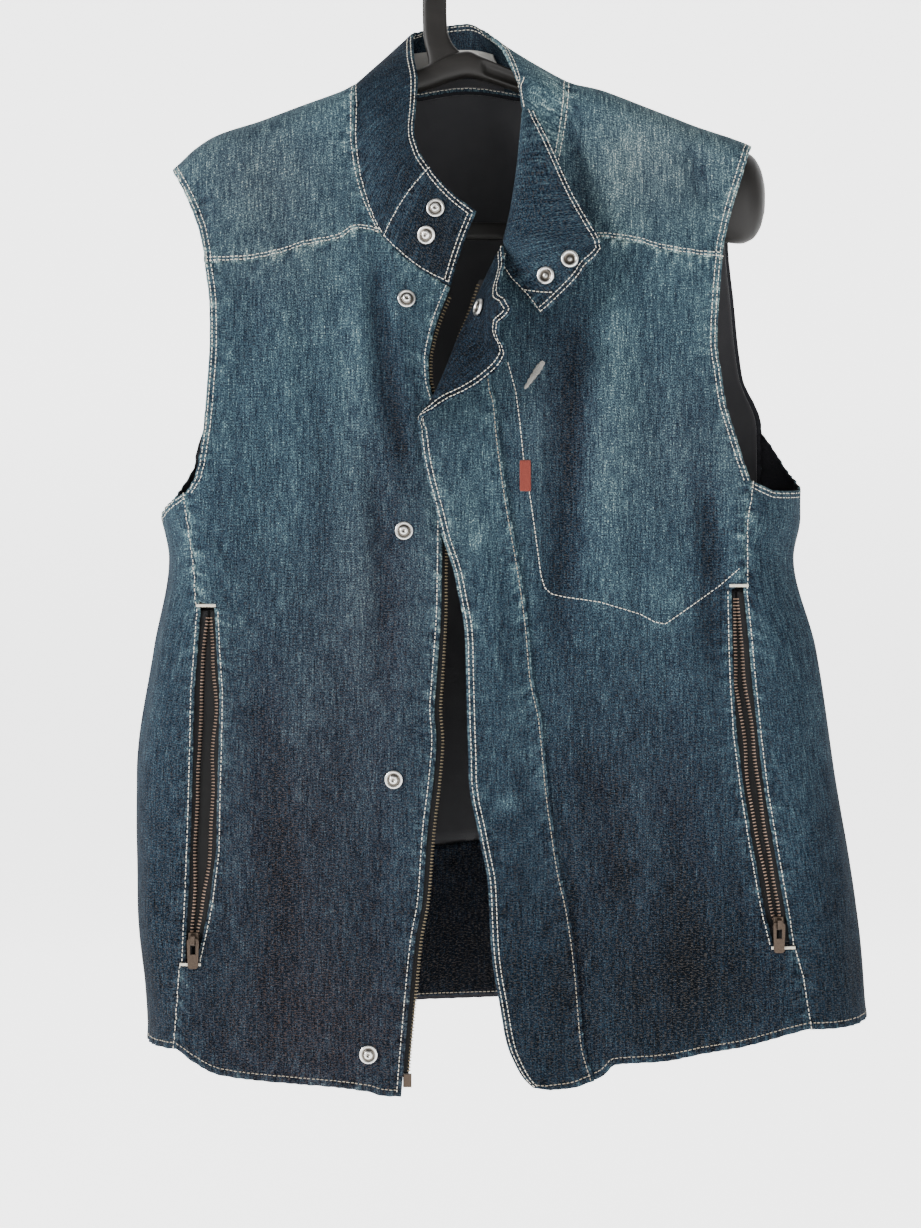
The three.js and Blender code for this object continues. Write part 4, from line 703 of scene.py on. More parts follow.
def cloth_wall(outer, inner, bulge):
    """A closed wall: two grids and, round their edges, a ring half way between them that
    stands out by the bulge, so that the edge is round. Gives points and faces."""
    rows, columns = outer.shape[:2]
    at = np.arange(rows * columns).reshape(rows, columns)
    ring = np.concatenate([at[0, :-1], at[:-1, -1], at[-1, :0:-1], at[:0:-1, 0]])
    place = np.stack(np.unravel_index(ring, (rows, columns)))
    inward = np.clip(place, 1, [[rows - 2], [columns - 2]])
    beside = at[inward[0], inward[1]]
    flat_outer, flat_inner = outer.reshape(-1, 3), inner.reshape(-1, 3)
    middle = (flat_outer[ring] + flat_inner[ring]) / 2
    away = unit(middle - (flat_outer[beside] + flat_inner[beside]) / 2)
    points = np.concatenate([flat_outer, flat_inner, middle + away * bulge])
    far, rim = rows * columns, 2 * rows * columns
    quads = np.stack([at[:-1, :-1], at[:-1, 1:], at[1:, 1:], at[1:, :-1]], axis=-1).reshape(-1, 4)
    order = rim + np.arange(len(ring))
    after, rim_after = np.roll(ring, -1), np.roll(order, -1)
    edge_out = np.stack([after, ring, order, rim_after], axis=-1)
    edge_in = np.stack([rim_after, order, far + ring, far + after], axis=-1)
    faces = np.concatenate([quads, far + quads[:, ::-1], edge_out, edge_in])
    return points, faces, ring


def outward(points, faces):
    """The faces, turned round if together they enclose a negative volume. Each face counts
    as a fan of triangles from its first corner."""
    corners = [points[faces[:, k]] for k in range(faces.shape[1])]
    volume = sum(np.einsum("ij,ij->", corners[0], np.cross(b, c))
                 for b, c in zip(corners[1:-1], corners[2:]))
    return faces if volume > 0 else faces[:, ::-1]


def make_mesh(name, points, faces, material, attributes=None):
    mesh = bpy.data.meshes.new(name)
    mesh.from_pydata(points * MM, [], faces.tolist())
    for key, values in (attributes or {}).items():
        kind, width = ("FLOAT_VECTOR", "vector") if values.ndim > 1 else ("FLOAT", "value")
        attribute = mesh.attributes.new(key, kind, "POINT")
        attribute.data.foreach_set(width, np.ascontiguousarray(values, np.float32).ravel())
    mesh.shade_smooth()
    mesh.materials.append(material)
    piece = bpy.data.objects.new(name, mesh)
    bpy.context.scene.collection.objects.link(piece)
    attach(piece, "vest")
    return piece


# Pale and dark places of the front: the wash's own fading and rubbed spots, and painted shade and
# painted light along folds and in the shadow below the collar: x, z, half width, half height, amount
WASH_AND_PAINTED_SHADE = [
    [-150, -175, 55, 45, -0.02], [-78, -190, 14, 45, -0.09], [130, -175, 50, 45, 0.09],
    [-122, -330, 46, 75, 0.05], [-58, -340, 20, 105, -0.09], [-170, -300, 16, 60, -0.02],
    [-60, -560, 34, 90, 0.02], [-150, -640, 50, 90, -0.01], [-195, -470, 12, 50, 0.05],
    [62, -302, 26, 38, -0.08], [128, -370, 34, 105, 0.07], [176, -330, 12, 90, 0.02],
    [6, -415, 20, 60, 0.09], [40, -470, 26, 40, 0.03], [20, -560, 18, 60, 0.03],
    [6, -443, 7, 6, 0.16], [26, -627, 8, 6, 0.22], [168, -300, 9, 12, 0.08],
    [64, -720, 20, 95, -0.08], [110, -480, 60, 20, 0.05], [150, -560, 50, 50, -0.02],
    [230, -640, 18, 110, 0.09], [-215, -600, 14, 100, -0.01], [-190, -775, 30, 40, 0.02],
    [150, -750, 70, 60, -0.10], [72, -362, 6, 95, -0.05], [88, -345, 8, 80, 0.05],
    [-50, -330, 6, 90, -0.07], [-66, -420, 7, 70, 0.05], [-46, -520, 8, 60, -0.05],
    [-88, -330, 7, 80, 0.05], [-104, -430, 8, 90, -0.05], [168, -450, 8, 60, -0.07],
    [180, -420, 6, 60, 0.07], [26, -470, 6, 60, -0.05], [48, -650, 10, 90, 0.05],
    [78, -590, 10, 70, -0.07], [96, -640, 10, 80, 0.05], [30, -720, 8, 70, -0.05],
]
# Where the wash has left a brownish cast, in the same columns
CAST = [
    [-60, -480, 40, 120, 0.6], [-120, -640, 70, 140, 0.9], [-100, -790, 90, 60, 0.9],
    [-140, -240, 50, 50, 0.3], [110, -640, 60, 100, 0.35], [60, -360, 30, 60, 0.3],
    [-150, -175, 60, 45, 0.5], [130, -175, 60, 45, 0.5], [150, -380, 60, 60, 0.3],
]
FADE = table("z tone", [
    [-840, 0.20], [-780, 0.21], [-700, 0.27], [-620, 0.33], [-540, 0.40], [-440, 0.44],
    [-340, 0.46], [-250, 0.50], [-200, 0.56], [-140, 0.58], [-60, 0.52]])
# Share of the folds' height in the tone: ridges rub pale, and it also paints shade into the troughs and
# light onto the ridges.
RIDGE_WEAR_AND_SHADE = 0.040


def fade_and_shade_of(points):
    """How pale the denim is, 0 to 1, painted shade and light included: a curve of the height, plus a
    share of the folds' height, because ridges rub pale and as painted shade in the troughs and painted
    light on the ridges, plus a bell for each pale or dark place, some washed pale, some painted shade
    and some painted light."""
    x, y, z = points[..., 0], points[..., 1], points[..., 2]
    front = y < 20
    folds = np.where(front, fold_height(FRONT_FOLDS + FRONT_CREASES, x, z),
                     fold_height(BACK_FOLDS + BACK_CREASES, x, z))
    tone = FADE.tone(z) + RIDGE_WEAR_AND_SHADE * np.clip(folds, -5, 4)
    return tone + np.where(front, bells(WASH_AND_PAINTED_SHADE, x, z), 0.0)


# Pale and dark places of the collar, partly worn pale and partly painted shade, as round the right
# tab's snaps: station, height, half lengths, amount
COLLAR_WASH_AND_SHADE = [
    [14.0, 0.6, 1.5, 0.9, 0.40], [15.4, 0.2, 1.0, 0.35, 0.30], [4.6, 0.2, 2.0, 0.35, 0.14],
    [18.9, 0.5, 0.8, 0.5, 0.14], [1.0, 0.5, 1.1, 0.5, -0.12], [16.6, 0.8, 0.7, 0.4, -0.05],
]


def bells(places, x, z):
    """The sum of each place's amount times a bell in x and in z."""
    return sum(amount * np.exp(-((x - at_x) / half_x) ** 2 - ((z - at_z) / half_z) ** 2)
               for at_x, at_z, half_x, half_z, amount in places)


def cast_of(points):
    return np.where(points[..., 1] < 20, bells(CAST, points[..., 0], points[..., 2]), 0.3)


# Wear beside the sewn edges: along the puckers, on the edge itself and in a wide soft band
PUCKER_RUB = 0.05
EDGE_RUB, EDGE_RUB_REACH = 0.11, 1.6
WIDE_RUB, WIDE_RUB_REACH = 0.03, 14
FAR_AWAY = 900.0
RIM_INSIDE = 0.35
cloth = {}


def make_cloth(name, node, grid, form, facing, thick, material, gaps=None, out=0.0,
               step=NUDGE, sewn="", cut=None, slot="denim", pucker=(0.75, 9.0, 6.5), tone=0.0,
               bulge=0.5):
    """A cloth panel: its grid on the form, moved out along the normal, with puckers along
    its sewn edges: a bell of the distance times an uneven sine along the edge. A pucker is
    given by its height, its length along the edge and how far in it reaches."""
    p, q = grid[..., 0], grid[..., 1]
    base = form(p, q)
    normal = collar_normal(p, q) if form is collar_form else normal_of(form, facing, p, q, step)
    depth, length, reach = pucker
    fields = edge_fields(base, sewn.split())
    height = np.zeros(p.shape)
    nearest = np.full(p.shape, FAR_AWAY)
    run = np.zeros(p.shape)
    worn = np.zeros(p.shape)
    for i, (distance, along) in enumerate(fields.values()):
        wave = ripple(along, length, 1.7 * i + len(name))
        bell = np.exp(-((distance / reach) ** 2))
        height = height + depth * wave * bell
        worn = worn + (PUCKER_RUB * bell * wave
                       + EDGE_RUB * np.exp(-((distance / EDGE_RUB_REACH) ** 2))
                       + WIDE_RUB * np.exp(-distance / WIDE_RUB_REACH))
        closer = distance < nearest
        nearest, run = np.where(closer, distance, nearest), np.where(closer, along, run)
    gaps = gaps or {}
    outer = pulled_in(base + normal * (out + height)[..., None], gaps)
    inner = pulled_in(base + normal * (out - thick + height)[..., None], gaps)
    points, faces, ring = cloth_wall(outer, inner, bulge)
    faces = outward(points, faces)
    flat = stack(p, q) if cut is None else cut
    weave = np.concatenate([flat * MM, np.zeros(p.shape + (1,))], axis=-1).reshape(-1, 3)
    seam = np.stack([nearest * MM, run * MM, np.zeros_like(run)], axis=-1).reshape(-1, 3)
    # The collar's pale worn places and its painted shade round the right tab's snaps.
    if form is collar_form:
        tone = tone + bells(COLLAR_WASH_AND_SHADE, p, q)
    # The tone: the denim's fading and worn edges, with painted shade and painted light of the folds and
    # of the shadow below the collar mixed in.
    fade_and_shade = (fade_and_shade_of(outer) + worn + tone).ravel()
    spread_out = lambda values: np.concatenate([values, values, values[ring]])
    inside = np.concatenate([np.zeros(p.size), np.ones(p.size), np.full(len(ring), RIM_INSIDE)])
    piece = make_mesh(name, points, faces, material, attributes={
        "weave": spread_out(weave), "seam": spread_out(seam), "fade_and_shade": spread_out(fade_and_shade),
        "inside": inside, "cast": spread_out(cast_of(outer).ravel())})
    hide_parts(node)
    cloth[node] = piece
    return SimpleNamespace(outer=outer, inner=inner, normal=normal)


def line_inside(panel, edge, distance, side="outer"):
    """The line on a panel at a distance inside one of its edges, and its normals. On each
    grid line that leaves the edge, the point is found by distance travelled."""
    points = panel.outer if side == "outer" else panel.inner
    normal = panel.normal if side == "outer" else -panel.normal
    turned = {"left": (points, normal), "right": (points[:, ::-1], normal[:, ::-1]),
              "bottom": (points.swapaxes(0, 1), normal.swapaxes(0, 1)),
              "top": (points[::-1].swapaxes(0, 1), normal[::-1].swapaxes(0, 1))}
    lines, normals = turned[edge]
    reach = travelled(lines, 1)
    i = np.clip(np.sum(reach < distance, axis=1) - 1, 0, lines.shape[1] - 2)
    row = np.arange(len(lines))
    s = ((distance - reach[row, i]) / (reach[row, i + 1] - reach[row, i]))[:, None]
    place = lines[row, i] * (1 - s) + lines[row, i + 1] * s
    return place, unit(normals[row, i] * (1 - s) + normals[row, i + 1] * s)


def at_distance(values, travel, at):
    """A line's values at distances along it."""
    return np.stack([np.interp(at, travel, column) for column in values.T], axis=-1)


def on_front(out, corners, every=2.0):
    """A line through corner points on the front, split finely, and its normals."""
    corners = np.asarray(corners, float)
    travel = travelled(corners[None], 1)[0]
    at = np.linspace(0, travel[-1], max(2, int(travel[-1] / every)))
    x, z = at_distance(corners, travel, at).T
    normal = normal_of(front_form, 1, x, z)
    return front_form(x, z) + normal * out, normal


def part_of(line, start, end):
    """The share of a line between two fractions of its points."""
    place, normal = line
    low, high = int(start * (len(place) - 1)), int(end * (len(place) - 1)) + 1
    return place[low:high], normal[low:high]


def cut_short(line, start, end):
    """The line without a length in millimetres at each of its ends."""
    place, normal = line
    travel = travelled(place[None], 1)[0]
    at = np.unique(np.clip(travel, start, travel[-1] - end))
    return at_distance(place, travel, at), unit(at_distance(normal, travel, at))


# Stitches: each is a short spindle along the line
STITCH_SIDES = 5
STITCH_RINGS = (-0.34, 0.34)


def stitches_on(line, pitch=3.1, length=2.5, width=0.62, high=0.5, turned=False):
    """Spindles set along a line at equal steps, as points and triangles. Each has a ring of
    points near either end and a tip past it, laid along the line's direction or, turned,
    across it. The length may be a function of the share of the line."""
    place, normal = line
    travel = travelled(place[None], 1)[0]
    at = np.arange(pitch / 2, travel[-1], pitch)
    centre = at_distance(place, travel, at)
    up = unit(at_distance(normal, travel, at))
    ahead = at_distance(place, travel, at + NUDGE) - at_distance(place, travel, at - NUDGE)
    ahead = unit(ahead - up * np.sum(ahead * up, axis=-1, keepdims=True))
    across = np.cross(up, ahead)
    if turned:
        ahead, across = across, -ahead
    local = [(-0.5, 0.0, 0.0)]
    for along in STITCH_RINGS:
        local += [(along, math.cos(a), math.sin(a)) for a in full_turn(STITCH_SIDES)]
    local = np.array(local + [(0.5, 0.0, 0.0)]) * [1, width / 2, high / 2]
    length = np.broadcast_to(length if np.isscalar(length) else length(at / travel[-1]), at.shape)
    points = (centre[:, None] + local[None, :, :1] * (ahead * length[:, None])[:, None]
              + local[None, :, 1:2] * across[:, None] + local[None, :, 2:] * up[:, None])
    n, last = STITCH_SIDES, 2 * STITCH_SIDES + 1
    i = np.arange(n)
    j = (i + 1) % n
    faces = np.concatenate([
        np.stack([np.zeros(n, int), 1 + i, 1 + j], -1),
        np.stack([1 + i, 1 + n + i, 1 + n + j], -1),
        np.stack([1 + i, 1 + n + j, 1 + j], -1),
        np.stack([np.full(n, last), 1 + n + j, 1 + n + i], -1)])
    all_faces = faces[None, :, ::-1] + (np.arange(len(at)) * len(local))[:, None, None]
    return points.reshape(-1, 3), all_faces.reshape(-1, 3)


def skin_round(rings, sides):
    """The numbers of the points of closed rings, and the four-cornered faces between them."""
    at = np.arange(rings * sides).reshape(rings, sides)
    after = np.roll(at, -1, axis=1)
    return at, np.stack([at[:-1], after[:-1], after[1:], at[1:]], axis=-1).reshape(-1, 4)


def joined(parts):
    """Several sets of points and faces as one."""
    offsets = np.cumsum([0] + [len(points) for points, _ in parts[:-1]])
    return (np.concatenate([points for points, _ in parts]),
            np.concatenate([faces + offset for (_, faces), offset in zip(parts, offsets)]))


# Materials

class Finish:
    """A node material under a plain name, with short ways to add and join its nodes."""

    def __init__(self, name):
        self.material = bpy.data.materials.new(name)
        self.material.use_nodes = True
        self.tree = self.material.node_tree
        self.shader = self.tree.nodes["Principled BSDF"]

    def add(self, kind, settings=None, **inputs):
        node = self.tree.nodes.new(kind)
        for key, value in (settings or {}).items():
            setattr(node, key, value)
        for key, value in inputs.items():
            place = int(key[1:]) if key[1:].isdigit() else key.replace("_", " ")
            self.put(node.inputs[place], value)
        return node

    def put(self, socket, value):
        if isinstance(value, bpy.types.NodeSocket):
            self.tree.links.new(value, socket)
        else:
            socket.default_value = value

    def math(self, operation, a, b=0.0, c=0.0):
        node = self.add("ShaderNodeMath", {"operation": operation}, _0=a, _1=b, _2=c)
        return node.outputs[0]

    def attribute(self, name):
        return self.add("ShaderNodeAttribute", {"attribute_name": name})

    def scaled(self, vector, scale, place=(0, 0, 0), turn=(0, 0, 0)):
        node = self.add("ShaderNodeMapping", Vector=vector, Scale=scale, Location=place, Rotation=turn)
        return node.outputs[0]

    def noise(self, vector, scale=1.0, detail=2.0, rough=0.5):
        node = self.add("ShaderNodeTexNoise", Vector=vector, Scale=scale, Detail=detail,
                        Roughness=rough)
        return node.outputs["Fac"]

    def ramp(self, value, stops):
        node = self.add("ShaderNodeValToRGB", Fac=value)
        elements = node.color_ramp.elements
        while len(elements) < len(stops):
            elements.new(0.5)
        for element, (place, colour) in zip(elements, stops):
            element.position = place
            element.color = (*colour, 1.0)
        return node.outputs[0]

    def mix(self, share, a, b):
        node = self.add("ShaderNodeMix", {"data_type": "RGBA"}, _0=share)
        self.put(node.inputs[6], a if isinstance(a, bpy.types.NodeSocket) else (*a, 1.0))
        self.put(node.inputs[7], b if isinstance(b, bpy.types.NodeSocket) else (*b, 1.0))
        return node.outputs[2]

    def multiplied(self, colour, factors):
        node = self.add("ShaderNodeVectorMath", {"operation": "MULTIPLY"}, _0=colour, _1=factors)
        return node.outputs[0]

    def bump(self, height, strength, distance, **normal):
        node = self.add("ShaderNodeBump", Height=height, Strength=strength, Distance=distance, **normal)
        return node.outputs[0]

    def shade(self, **inputs):
        for key, value in inputs.items():
            if isinstance(value, tuple) and len(value) == 3 and "Color" in key:
                value = (*value, 1.0)
            self.put(self.shader.inputs[key.replace("_", " ")], value)
        return self.material


# Indigo from deep to washed out, and how much each noise shifts the tone
DENIM_STOPS = [
    (0.0, (0.0010, 0.0018, 0.0030)), (0.2, (0.0036, 0.0070, 0.0122)),
    (0.4, (0.0102, 0.0188, 0.0296)), (0.6, (0.0255, 0.0465, 0.0600)),
    (0.8, (0.0660, 0.1100, 0.1210)), (1.0, (0.25, 0.33, 0.31))]
WARP, SLUB, WEFT, SPECKLE, BLOTCH, CLOUD = 0.75, 0.27, 0.38, 1.2, 0.24, 0.20
PUCKER_REACH = 0.0085
PUCKER_TONE = 1.35
FLECK_BROWN = (0.050, 0.046, 0.042)
BROWN_CAST = (1.55, 0.98, 0.86)


def denim(name, inside_lining, inside_tone=0.0):
    """Twill in the weave's own coordinates: warp streaks, brown weft flecks, a fine speckle and a
    blotchy wash shift the tone that the fade, with its painted shade and light of folds and shadows,
    gives; puckers beside the seams rise and rub pale. The wrong side is black lining, or darker denim
    where the cloth has none."""
    f = Finish(name)
    weave = f.attribute("weave").outputs["Vector"]
    seam = f.add("ShaderNodeSeparateXYZ", Vector=f.attribute("seam").outputs["Vector"])
    # This attribute carries the denim's fading and wear together with painted shade and painted light
    # of folds and shadows.
    fade_and_shade = f.attribute("fade_and_shade").outputs["Fac"]
    inside = f.attribute("inside").outputs["Fac"]
    warp = f.noise(f.scaled(weave, (850, 75, 1)), detail=2, rough=0.6)
    slub = f.noise(f.scaled(weave, (330, 22, 1), (3, 1, 0)), detail=2)
    weft = f.noise(f.scaled(weave, (150, 900, 1), (0, 4, 2)), detail=2, rough=0.6)
    speckle = f.noise(f.scaled(weave, (1100, 900, 1), (5, 2, 1)), detail=1, rough=0.6)
    wash = f.noise(f.scaled(weave, (24, 13, 1)), detail=4, rough=0.6)
    cloudy = f.noise(f.scaled(weave, (120, 60, 1), (7, 3, 0)), detail=3, rough=0.65)
    tone = fade_and_shade
    for field, amount in ((warp, WARP), (slub, SLUB), (weft, WEFT), (speckle, SPECKLE),
                          (wash, BLOTCH), (cloudy, CLOUD)):
        tone = f.math("MULTIPLY_ADD", f.math("SUBTRACT", field, 0.5), amount, tone)
    near = f.math("EXPONENT", f.math("MULTIPLY", seam.outputs[0], -1 / PUCKER_REACH))
    along = f.noise(f.add("ShaderNodeCombineXYZ", X=f.math("MULTIPLY", seam.outputs[1], 170),
                          Y=f.math("MULTIPLY", seam.outputs[0], 75)).outputs[0], detail=2, rough=0.6)
    rub = f.math("MULTIPLY", f.math("SUBTRACT", along, 0.47), near)
    tone = f.math("MULTIPLY_ADD", rub, PUCKER_TONE, tone)
    tone = f.math("MULTIPLY_ADD", inside, inside_tone, tone)
    colour = f.ramp(tone, DENIM_STOPS)
    flecks = f.noise(f.scaled(weave, (420, 1500, 1), (2, 7, 4)), detail=1, rough=0.5)
    fleck = f.math("MULTIPLY", f.math("GREATER_THAN", flecks, 0.58), f.math("SUBTRACT", 0.72, fade_and_shade))
    fleck = f.math("MAXIMUM", f.math("MULTIPLY", fleck, 0.75), 0.0)
    colour = f.mix(fleck, colour, FLECK_BROWN)
    colour = f.mix(f.math("MULTIPLY", f.attribute("cast").outputs["Fac"], 0.6), colour,
                   f.multiplied(colour, BROWN_CAST))
    if inside_lining:
        grain = f.noise(f.scaled(weave, (700, 700, 1)), detail=2)
        dark = f.mix(grain, (0.008, 0.008, 0.010), (0.022, 0.022, 0.025))
        colour = f.mix(f.math("GREATER_THAN", inside, 0.5), colour, dark)
    twill = f.add("ShaderNodeTexWave", {"wave_type": "BANDS", "bands_direction": "DIAGONAL"},
                  Vector=weave, Scale=330.0, Distortion=1.2, Detail=2.0)
    height = f.math("MULTIPLY_ADD", twill.outputs["Fac"], 0.35, f.math("MULTIPLY", warp, 0.4))
    fine = f.bump(f.math("MULTIPLY_ADD", speckle, 0.3, height), 0.55, 0.0005)
    swell = f.math("ADD", f.math("MULTIPLY", rub, 2.6), f.math("MULTIPLY", cloudy, 0.5))
    soft = f.bump(swell, 0.6, 0.0012, Normal=fine)
    return f.shade(Base_Color=colour, Roughness=0.95, Normal=soft, Specular_IOR_Level=0.06)


def plain_weave(name, dark, light, scale, rough, sheen=0.1):
    """A plain weave: two crossing waves on the object's coordinates, with a soft blotch."""
    f = Finish(name)
    place = f.add("ShaderNodeTexCoord").outputs["Object"]
    across, up = (f.add("ShaderNodeTexWave", {"bands_direction": way}, Vector=place, Scale=scale,
                        Distortion=0.6) for way in "XZ")
    thread = f.math("MULTIPLY", across.outputs["Fac"], up.outputs["Fac"])
    blotch = f.noise(place, 45, 4, 0.6)
    colour = f.mix(f.math("MULTIPLY_ADD", thread, 0.4, f.math("MULTIPLY", blotch, 0.6)), dark, light)
    normal = f.bump(f.math("MULTIPLY_ADD", blotch, 0.5, thread), 0.5, 0.0004)
    return f.shade(Base_Color=colour, Roughness=rough, Normal=normal, Sheen_Weight=sheen,
                   Specular_IOR_Level=0.2)


def metal(name, dark, light, rough, scale, hollow_colour=(0.05, 0.04, 0.03)):
    """Worn metal: a fine noise mixes two tones and varies the gloss. Where a piece's own attribute says
    that it is hollow, a dark brownish colour is mixed in."""
    f = Finish(name)
    place = f.add("ShaderNodeTexCoord").outputs["Object"]
    grain = f.noise(place, scale, 4, 0.6)
    dull = f.math("MULTIPLY_ADD", grain, 0.25, rough)
    colour = f.mix(f.attribute("hollow").outputs["Fac"], f.mix(grain, dark, light), hollow_colour)
    return f.shade(Base_Color=colour, Metallic=1.0, Roughness=dull,
                   Normal=f.bump(grain, 0.25, 0.0002))


def thread(name, dark, light):
    """Twisted thread: a fine slanted wave and a slow change of tone along the seams."""
    f = Finish(name)
    place = f.add("ShaderNodeTexCoord").outputs["Object"]
    twist = f.add("ShaderNodeTexWave", {"bands_direction": "DIAGONAL"}, Vector=place, Scale=700.0,
                  Distortion=0.5)
    slow = f.math("MULTIPLY", f.noise(place, 90, 3), 0.8)
    tone = f.math("MULTIPLY_ADD", twist.outputs["Fac"], 0.3, slow)
    return f.shade(Base_Color=f.mix(tone, dark, light), Roughness=0.7,
                   Normal=f.bump(twist.outputs["Fac"], 0.4, 0.0002), Sheen_Weight=0.1)


def moulded_plastic(name):
    """Satin black plastic with a faint moulded grain and a few dull scuffs."""
    f = Finish(name)
    place = f.add("ShaderNodeTexCoord").outputs["Object"]
    grain = f.noise(place, 900, 2)
    scuff = f.noise(f.scaled(place, (30, 30, 90)), 1, 5, 0.7)
    colour = f.mix(scuff, (0.003, 0.0026, 0.0023), (0.009, 0.008, 0.007))
    return f.shade(Base_Color=colour, Roughness=f.math("MULTIPLY_ADD", scuff, 0.25, 0.36),
                   Specular_IOR_Level=0.24,
                   Normal=f.bump(f.math("MULTIPLY_ADD", scuff, 0.6, grain), 0.2, 0.0003))


panel_denim = denim("washed_denim_lined", True)
double_denim = denim("washed_denim_double", False, -0.10)
placket_denim = denim("washed_denim_placket", False, -0.34)
lining_cloth = plain_weave(
    "black_lining", (0.007, 0.007, 0.009), (0.022, 0.022, 0.024), 900.0, 0.62, 0.25)
pocket_cloth = plain_weave(
    "pocket_cloth", (0.002, 0.002, 0.002), (0.006, 0.006, 0.006), 900.0, 0.8, 0.0)
tape_cloth = plain_weave(
    "zip_tape", (0.003, 0.003, 0.003), (0.010, 0.010, 0.011), 1400.0, 0.8, 0.0)
# The label's off-white is darkened as painted shade, for the shadow it lies in inside the neck.
label_cloth_painted_shade = plain_weave("label_cloth_painted_shade", (0.34, 0.33, 0.31), (0.48, 0.47, 0.44), 1600.0, 0.8)
tab_cloth = plain_weave("tab_cloth", (0.10, 0.016, 0.010), (0.20, 0.036, 0.024), 1500.0, 0.75)
copper = metal("aged_copper", (0.10, 0.060, 0.042), (0.40, 0.28, 0.21), 0.28, 700)
bronze = metal("dull_bronze", (0.07, 0.055, 0.035), (0.30, 0.24, 0.15), 0.34, 700)
dark_metal = metal("dark_zip_metal", (0.025, 0.019, 0.015), (0.095, 0.072, 0.056), 0.35, 900)
nickel = metal("nickel", (0.50, 0.49, 0.46), (0.80, 0.79, 0.76), 0.18, 1200)
cream_thread = thread("cream_thread", (0.42, 0.38, 0.30), (0.72, 0.68, 0.58))
tan_thread = thread("tan_thread", (0.16, 0.13, 0.09), (0.36, 0.31, 0.23))
grey_thread = thread("grey_thread", (0.10, 0.095, 0.085), (0.34, 0.33, 0.30))
plastic = moulded_plastic("black_plastic")

# Panels: the steps of their grids, then each panel
FINE = 2.3
SOFT = 3.6
COARSE = 6.0
PLACKET_STEP = 2.0
ALL_EDGES = "left right bottom top"
fronts, yokes, sides = {}, {}, {}
for side, name in NAMED_SIDES:
    grid, top_gap = front_grid(side, FINE)
    fronts[side] = make_cloth(
        f"{name}_front_cloth", f"{name}_front", grid, front_form, 1, DENIM, panel_denim,
        {OUTER_EDGE[side]: SEAM_GAP, "top": top_gap}, sewn=ALL_EDGES)
for side, name in NAMED_SIDES:
    grid = yoke_grid(side, FINE)
    yokes[side] = make_cloth(
        f"{name}_yoke_cloth", f"{name}_yoke", grid, shoulder_form, -1, DENIM, panel_denim,
        {"bottom": SEAM_GAP, "top": SEAM_GAP, MIDDLE_EDGE[side]: NECK_GAP}, sewn=ALL_EDGES,
        cut=grid * [1, -1])
for side, name in NAMED_SIDES:
    grid = side_grid(side, FINE)
    sides[side] = make_cloth(
        f"{name}_side_cloth", f"{name}_side", grid, side_form(side), side, DENIM, panel_denim,
        {"left": SEAM_GAP, "right": SEAM_GAP}, step=ANGLE_STEP, sewn=ALL_EDGES,
        cut=grid * [TURN, 1], tone=-0.02)

fine_back, neck_columns, _ = back_grid(SOFT)
back_top_gap = np.where(neck_columns, NECK_GAP, SEAM_GAP)
back = make_cloth("back_cloth", "back", fine_back, shoulder_form, -1, DENIM, panel_denim,
                  {"left": SEAM_GAP, "right": SEAM_GAP, "top": back_top_gap}, sewn=ALL_EDGES)
INSIDE_BACK = -DENIM - 1.0
INSIDE_MARGIN = 3.0
FACING = 1.4
coarse_back, _, facing_rows = back_grid(COARSE)
inside_gaps = {"left": INSIDE_MARGIN, "right": INSIDE_MARGIN}
make_cloth("back_lining_cloth", "back_lining", coarse_back[facing_rows:], shoulder_form, -1,
           LINING, lining_cloth, {**inside_gaps, "bottom": SEAM_GAP, "top": INSIDE_MARGIN},
           INSIDE_BACK, slot="lining", bulge=0.2)
facing = make_cloth(
    "back_hem_facing_cloth", "back_hem_facing", coarse_back[:facing_rows + 1], shoulder_form, -1,
    FACING, double_denim, {**inside_gaps, "bottom": INSIDE_MARGIN, "top": SEAM_GAP}, INSIDE_BACK,
    slot="denim_inside", sewn="bottom top", tone=-0.12, bulge=0.3)
placket = make_cloth(
    "left_placket_cloth", "left_placket", placket_grid(PLACKET_STEP), placket_form, 1, DENIM,
    placket_denim, sewn=ALL_EDGES, pucker=(0.45, 8.0, 4.5), bulge=0.7)


def collar_grid(start, end, columns, rows):
    """Stations between two slanting lines across the collar, given as (neck, edge)."""
    v = spread(0, 1, rows)[:, None]
    s = spread(0, 1, columns)[None]
    first = start[0] + v * (start[1] - start[0])
    last = end[0] + v * (end[1] - end[0])
    return stack(first + s * (last - first), v)


TAB_DENT = SimpleNamespace(deep=0.075, at=0.74, half=0.10)
TAB_CORNER = SimpleNamespace(deep=0.09, start=0.90)


def end_wave(v):
    """How far the left tab's end draws back: a dent beside its upper corner, which is round."""
    dent = TAB_DENT.deep * np.exp(-(((v - TAB_DENT.at) / TAB_DENT.half) ** 2))
    return dent + TAB_CORNER.deep * smooth_step(v, TAB_CORNER.start, 1.0)


